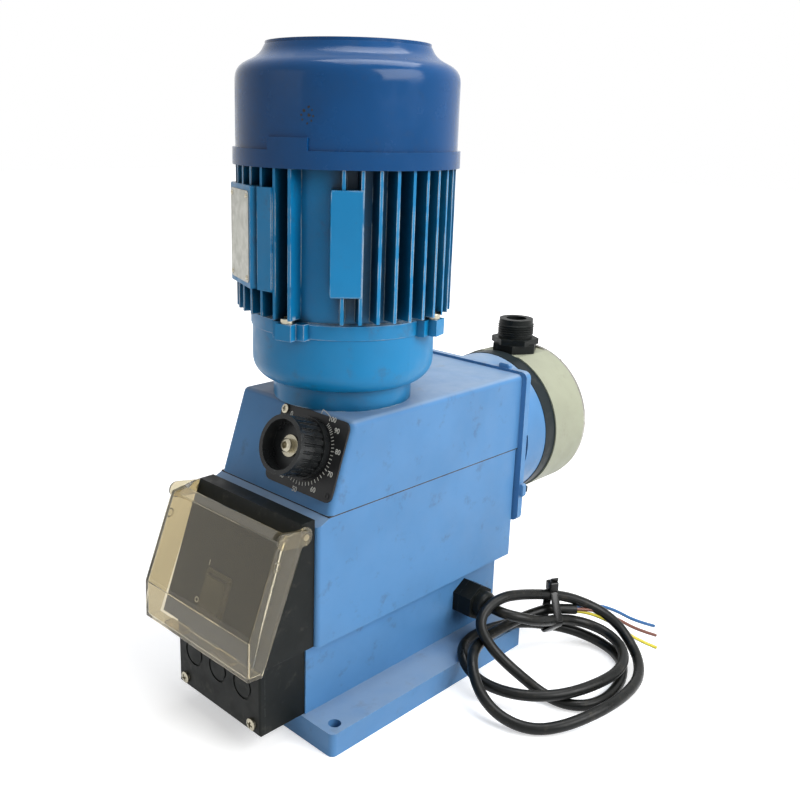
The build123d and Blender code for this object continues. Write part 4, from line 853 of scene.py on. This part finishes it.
lid_size = {"radius": 3.8, "height": 2.1, "drive": "cross", "shank_r": 1.7, "shank_len": 9}
scale_size = {"radius": 2.9, "height": 1.7, "drive": "cross", "shank_r": 1.5, "shank_len": 3.3}
stud_size = {"radius": 1.9, "height": 0.7, "drive": "cross", "shank_r": 1.5, "shank_len": 3.3}
lug_size = {"radius": 4.1, "height": 3.9, "drive": "hex", "shank_r": 2.5, "shank_len": 10}
cap_size = {"radius": 4.3, "height": 4.4, "drive": "hex", "shank_r": 1.9, "shank_len": 12}

# The lid's two screws, each left at its own turn.
lid_screw_across = 34.5
lid_screw_z = 22
lid_first_turn = 0.4
lid_front_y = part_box("terminal_lid")[0][1] / MM
lid_heads = []
for turn, side in enumerate((-1, 1)):
    where = face_frame((side * lid_screw_across, lid_front_y, lid_screw_z), (1, 0, 0), (0, -1, 0))
    lid_heads.append(where @ Matrix.Rotation(lid_first_turn + turn, 4, "Z"))
screws("lid_screw_heads", "zinc", "zinc_steel", "lid_screws", lid_heads, **lid_size)

# The scale plate's two screws differ, so the upper one stands for the CAD's pair.
scale_screw_across = 26.5
scale_screw_up = 21
scale_drop = 2
scale_middle = face_frame(knob_centre + slant_down * scale_drop + slant_out * plate_t, (1, 0, 0), slant_out)
upper = scale_middle @ Matrix.Translation(Vector((-scale_screw_across, scale_screw_up, 0)) * MM)
lower = scale_middle @ Matrix.Translation(Vector((scale_screw_across, -scale_screw_up, 0)) * MM)
screws("scale_screw_upper", "zinc", "zinc_steel", "scale_screws", [upper], **scale_size)
screws("scale_screw_lower", "dial_black", "black_plastic", None, [lower], **stud_size)

# The end shield's four lug screws, round the motor's axis.
motor_y = -26
motor_axis = face_frame((0, motor_y, 0), (1, 0, 0), (0, 0, 1))
lug_screw_at = 64
lug_top_z = 263
lug_angles = [math.radians(-75 + 90 * quarter) for quarter in range(4)]
lug_spots = [
    (lug_screw_at * math.cos(angle), motor_y + lug_screw_at * math.sin(angle), lug_top_z)
    for angle in lug_angles
]
lug_heads = [face_frame(spot, (1, 0, 0), (0, 0, 1)) for spot in lug_spots]
screws("lug_screw_heads", "zinc", "zinc_steel", "shield_screws", lug_heads, **lug_size)

# The knob's cap screw and its washer, on the floor of the knob's cup.
knob_h = 24
cup_depth = 9
washer_r = 7.0
washer_bore_r = 2.0
washer_t = 1.0
cap_gap = 0.01
cap = bmesh.new()
cup_floor = face_frame(knob_centre + slant_out * (knob_h - cup_depth), (1, 0, 0), slant_out)
washer = (
    (washer_bore_r, 0),
    (washer_r, 0),
    (washer_r, washer_t * 0.8),
    (washer_r - 0.2, washer_t),
    (washer_bore_r, washer_t),
)
lathe(cap, cup_floor, washer)
on_washer = cup_floor @ Matrix.Translation(Vector((0, 0, washer_t + cap_gap)) * MM)
screw_head(cap, on_washer, **cap_size)
knob_screw = piece("knob_cap_screw", cap, finishes["zinc"], "knob", 28)
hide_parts("knob_screw")

# ---------------------------------------------------------------- motor's plate and marks

# A bare plate with four rivets, on a block that stands out to the tips of the fins.
plate_angle = math.radians(-112)
plate_r = 68.2
backing_depth = 8
rivet_across = 15
rivet_up = 24
plate_out = (math.cos(plate_angle), math.sin(plate_angle), 0)
plate_across = (-math.sin(plate_angle), math.cos(plate_angle), 0)
plate_z = 311
rating_t = 0.6
plate_middle = Vector((0, motor_y, plate_z)) + Vector(plate_out) * plate_r
plate_frame = face_frame(plate_middle, plate_across, plate_out)
backing = bmesh.new()
sheet(backing, plate_frame, rounded(40.6, 60.4, 1), -backing_depth, 0, 0.4)
piece("plate_backing", backing, finishes["motor_blue"], "pump", 30)
plate = bmesh.new()
sheet(plate, plate_frame, rounded(36, 54, 2.5), 0.02, rating_t)
piece("rating_plate_blank", plate, finishes["plate"], "pump", 30)
rivets = bmesh.new()
for across, up in ((-1, 1), (1, 1), (-1, -1), (1, -1)):
    spot = plate_frame @ Matrix.Translation(Vector((across * rivet_across, up * rivet_up, rating_t)) * MM)
    lathe(rivets, spot, ((1.5, 0), (1.45, 0.35), (1.1, 0.7), (0.6, 0.86), (0.05, 0.9)), 20)
piece("plate_rivets", rivets, finishes["zinc"], "pump", 50)

# The moulded skin of the cowl, whose round shoulder stands over the hollow one of the CAD solid.
cowl_r = 68.15
skin = bmesh.new()
# Its (radius, height) points go up the outside, over the rim and back down the inside.
skin_profile = (
    (cowl_r, 362.4), (cowl_r, 380), (cowl_r, 398), (68.1, 401.5), (67.8, 404), (67.1, 406.2), (65.8, 408.3),
    (63.7, 410.2), (61.0, 411.7), (58.2, 413.0), (55.6, 414.5), (53.4, 416.3), (51.8, 418.4), (50.8, 420.4),
    (50.3, 421.2), (49.6, 421.2), (49.6, 419.4), (57.0, 408.0), (67.3, 401.0), (67.3, 362.4), (cowl_r, 362.4),
)
lathe(skin, motor_axis, skin_profile, 128)
bmesh.ops.remove_doubles(skin, verts=skin.verts, dist=0.00001)
piece("cowl_skin", skin, finishes["cowl_blue"], "pump", 50)

# The cast boss on the fins, which reaches out further than they do.
pad_turn = math.radians(-42)
pad_shift = -1.6
pad_low_z = 281
pad_high_z = 341
pad_low_r = 55
pad_high_r = 69.3
pad_out = Vector((math.cos(pad_turn), math.sin(pad_turn), 0))
pad_across = Vector((-pad_out.y, pad_out.x, 0))
pad_middle = Vector((0, motor_y, (pad_low_z + pad_high_z) / 2)) + pad_across * pad_shift
pad = bmesh.new()
pad_frame = face_frame(pad_middle, pad_across, pad_out)
sheet(pad, pad_frame, rounded(18.4, 60.4, 0.8, 3), pad_low_r, pad_high_r, 0.5)
piece("frame_boss", pad, finishes["motor_blue"], "pump", 30)

# Paint chips on the side of the cowl: a ring of them round one spot, and two more inside it.
chip_random = random.Random(4)
chips = bmesh.new()
chip_spot_angle = math.radians(-62.5)
chip_spot_z = 381
chip_count = 10
chips_in_ring = 8
chip_ring_r = 4.0
chip_inner_r = 1.2
chip_corners = 7
for step in range(chip_count):
    turn = 2 * math.pi * step / chips_in_ring + chip_random.uniform(-0.3, 0.3)
    reach = chip_ring_r if step < chips_in_ring else chip_inner_r
    reach += chip_random.uniform(-0.9, 0.9)
    angle = chip_spot_angle + reach * math.cos(turn) / cowl_r
    height = chip_spot_z + reach * math.sin(turn)
    out = (math.cos(angle), math.sin(angle), 0)
    spot = face_frame((cowl_r * out[0], motor_y + cowl_r * out[1], height), (-out[1], out[0], 0), out)
    size = chip_random.uniform(0.5, 0.95)
    edge = []
    for corner in range(chip_corners):
        bend = 2 * math.pi * corner / chip_corners
        wide = size * chip_random.uniform(0.7, 1.2)
        edge.append((wide * math.cos(bend), wide * math.sin(bend)))
    sheet(chips, spot, edge, -0.1, 0.05, 0.02)
piece("cowl_paint_chips", chips, finishes["dial_black"], "pump", 30)

# ---------------------------------------------------------------- clear cover

cover_half = 53
cover_wall = 1.8
cover_round = 0.8
cover_lip_z = 65
# The side of the hood as (y, z) points: down its front, and round the pin that it turns on.
pivot = (-105, 144)
arm_r = 6
front = ((-117, 148.4), (-126, 147), (-148, 91), (-148.5, 66), (-137.5, cover_lip_z))
arm = [
    (pivot[0] + arm_r * math.cos(math.radians(turn)), pivot[1] + arm_r * math.sin(math.radians(turn)))
    for turn in range(-110, 111, 22)
]
cheek = [(-110, 149.5), *front, *arm]
mould = bmesh.new()
sides = []
for across in (-cover_half, cover_half):
    sides.append([mould.verts.new(Vector((across, y, z)) * MM) for y, z in cheek])
for side in sides:
    mould.faces.new(side)
for step in range(1, len(front)):
    mould.faces.new((sides[0][step], sides[0][step + 1], sides[1][step + 1], sides[1][step]))
hood = piece("clear_hood", mould, finishes["clear"], "cover", 0)
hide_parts("clear_cover")
shell = hood.modifiers.new("wall", "SOLIDIFY")
shell.thickness = cover_wall * MM
shell.offset = -1
shell.use_even_offset = True
eased = hood.modifiers.new("eased", "BEVEL")
eased.width = cover_round * MM
eased.segments = 3
eased.limit_method = "ANGLE"
eased.angle_limit = math.radians(30)

# Two catches on the inside of its lower edge, a thicker arm at each pin and a raised ring on each side.
catches = bmesh.new()
catch_across = 24
catch_y = -143
catch_gap = 0.3
for side in (-1, 1):
    middle = (side * catch_across, catch_y, cover_lip_z + cover_wall + catch_gap)
    where = face_frame(middle, (1, 0, 0), (0, 0, 1))
    sheet(catches, where, rounded(20, 7, 1.5), 0, 2.4, 0.5)
piece("cover_catches", catches, finishes["clear"], "cover", 30)
arms = bmesh.new()
for side in (-1, 1):
    middle = (side * (cover_half + 0.03), -114.6, 145.4)
    where = face_frame(middle, (0, side * 0.985, side * -0.17), (side, 0, 0))
    sheet(arms, where, rounded(25, 10.4, 5), 0, 1.5, 0.4)
piece("cover_arms", arms, finishes["clear"], "cover", 40)
rings = bmesh.new()
for side in (-1, 1):
    where = face_frame((side * (cover_half - 0.05), -127, 132), (0, side, 0), (side, 0, 0))
    lathe(rings, where, ((2.2, 0), (2.3, 0.35), (2.7, 0.5), (3.1, 0.35), (3.2, 0)), 28)
piece("cover_rings", rings, finishes["clear"], "cover", 60)

# ---------------------------------------------------------------- castings

# The turned lip at the top of the end shield, and the filler lugs on the edge of the head's flange.
shield_r = 58.5
lip = bmesh.new()
lip_profile = (
    (shield_r - 0.3, 253.2),
    (shield_r + 0.7, 253.6),
    (shield_r + 0.9, 254.4),
    (shield_r + 0.9, 262.4),
    (shield_r - 0.3, 262.9),
)
lathe(lip, motor_axis, lip_profile, 96)
piece("shield_lip", lip, finishes["motor_blue"], "pump", 30)
flange_half = 57
flange_middle_y = (102 + 107) / 2
lugs = bmesh.new()
top_lug = ((36, flange_middle_y, head_z + flange_half), (0, 0, 1))
side_lug = ((flange_half, flange_middle_y, 119), (1, 0, 0))
for origin, out in (top_lug, side_lug):
    where = face_frame(origin, (out[2], 0, -out[0]), out)
    sheet(lugs, where, rounded(10, 4.6, 1.6), -0.5, 3.2, 0.9)
piece("flange_lugs", lugs, finishes["box_blue"], "pump", 30)

# ---------------------------------------------------------------- floor and light

floor_mesh = bmesh.new()
bmesh.ops.create_grid(floor_mesh, x_segments=1, y_segments=1, size=6)
floor_data = bpy.data.meshes.new("floor")
floor_mesh.to_mesh(floor_data)
floor_mesh.free()
floor = bpy.data.objects.new("floor", floor_data)
scene.collection.objects.link(floor)


def seen_directly(tree):
    """One where a camera, mirror or glass ray arrives, nothing elsewhere."""
    path = tree.nodes.new("ShaderNodeLightPath")
    total = path.outputs["Is Camera Ray"]
    for name in ("Is Glossy Ray", "Is Transmission Ray"):
        add = tree.nodes.new("ShaderNodeMath")
        add.operation = "MAXIMUM"
        tree.links.new(total, add.inputs[0])
        tree.links.new(path.outputs[name], add.inputs[1])
        total = add.outputs[0]
    return total


floor_paint = bpy.data.materials.new("floor")
floor_paint.use_nodes = True
tree = floor_paint.node_tree
matt = tree.nodes["Principled BSDF"]
matt.inputs["Base Color"].default_value = (0.82, 0.82, 0.82, 1)
matt.inputs["Roughness"].default_value = 0.9
matt.inputs["Specular IOR Level"].default_value = 0.1
matt.inputs["Emission Color"].default_value = (1, 1, 1, 1)
spot = tree.nodes.new("ShaderNodeTexCoord")
away = tree.nodes.new("ShaderNodeVectorMath")
away.operation = "LENGTH"
tree.links.new(spot.outputs["Object"], away.inputs[0])
rise = tree.nodes.new("ShaderNodeMapRange")
rise.inputs["From Min"].default_value = 0.35
rise.inputs["From Max"].default_value = 1.1
rise.inputs["To Min"].default_value = 0.5
rise.inputs["To Max"].default_value = 1.0
tree.links.new(away.outputs["Value"], rise.inputs["Value"])
glow = tree.nodes.new("ShaderNodeMath")
glow.operation = "MULTIPLY"
tree.links.new(rise.outputs["Result"], glow.inputs[1])
tree.links.new(seen_directly(tree), glow.inputs[0])
tree.links.new(glow.outputs[0], matt.inputs["Emission Strength"])
floor_data.materials.append(floor_paint)

# The world shows white, and lights the pump by this share of it.
ambient = 0.22
world = bpy.data.worlds.new("studio")
world.use_nodes = True
scene.world = world
tree = world.node_tree
background = tree.nodes["Background"]
background.inputs["Color"].default_value = (1, 1, 1, 1)
strength = tree.nodes.new("ShaderNodeMapRange")
strength.inputs["To Min"].default_value = ambient
strength.inputs["To Max"].default_value = 1.0
tree.links.new(seen_directly(tree), strength.inputs["Value"])
tree.links.new(strength.outputs["Result"], background.inputs["Strength"])


def softbox(name, place, aim, size, power):
    """A rectangular lamp. Its place, aim and size are in metres, its power in watts."""
    light = bpy.data.lights.new(name, "AREA")
    light.shape = "RECTANGLE"
    light.size = size[0]
    light.size_y = size[1]
    light.energy = power
    made = bpy.data.objects.new(name, light)
    made.location = place
    made.rotation_euler = (Vector(aim) - Vector(place)).to_track_quat("-Z", "Y").to_euler()
    scene.collection.objects.link(made)


softbox("key", (1.3, 0.25, 1.0), (0, 0, 0.2), (1.2, 0.9), 24)
softbox("overhead", (0.1, 0.3, 1.6), (0, 0, 0.1), (0.8, 1.2), 17)
softbox("front", (-0.5, -1.7, 0.8), (0, 0, 0.15), (1.2, 0.8), 2)
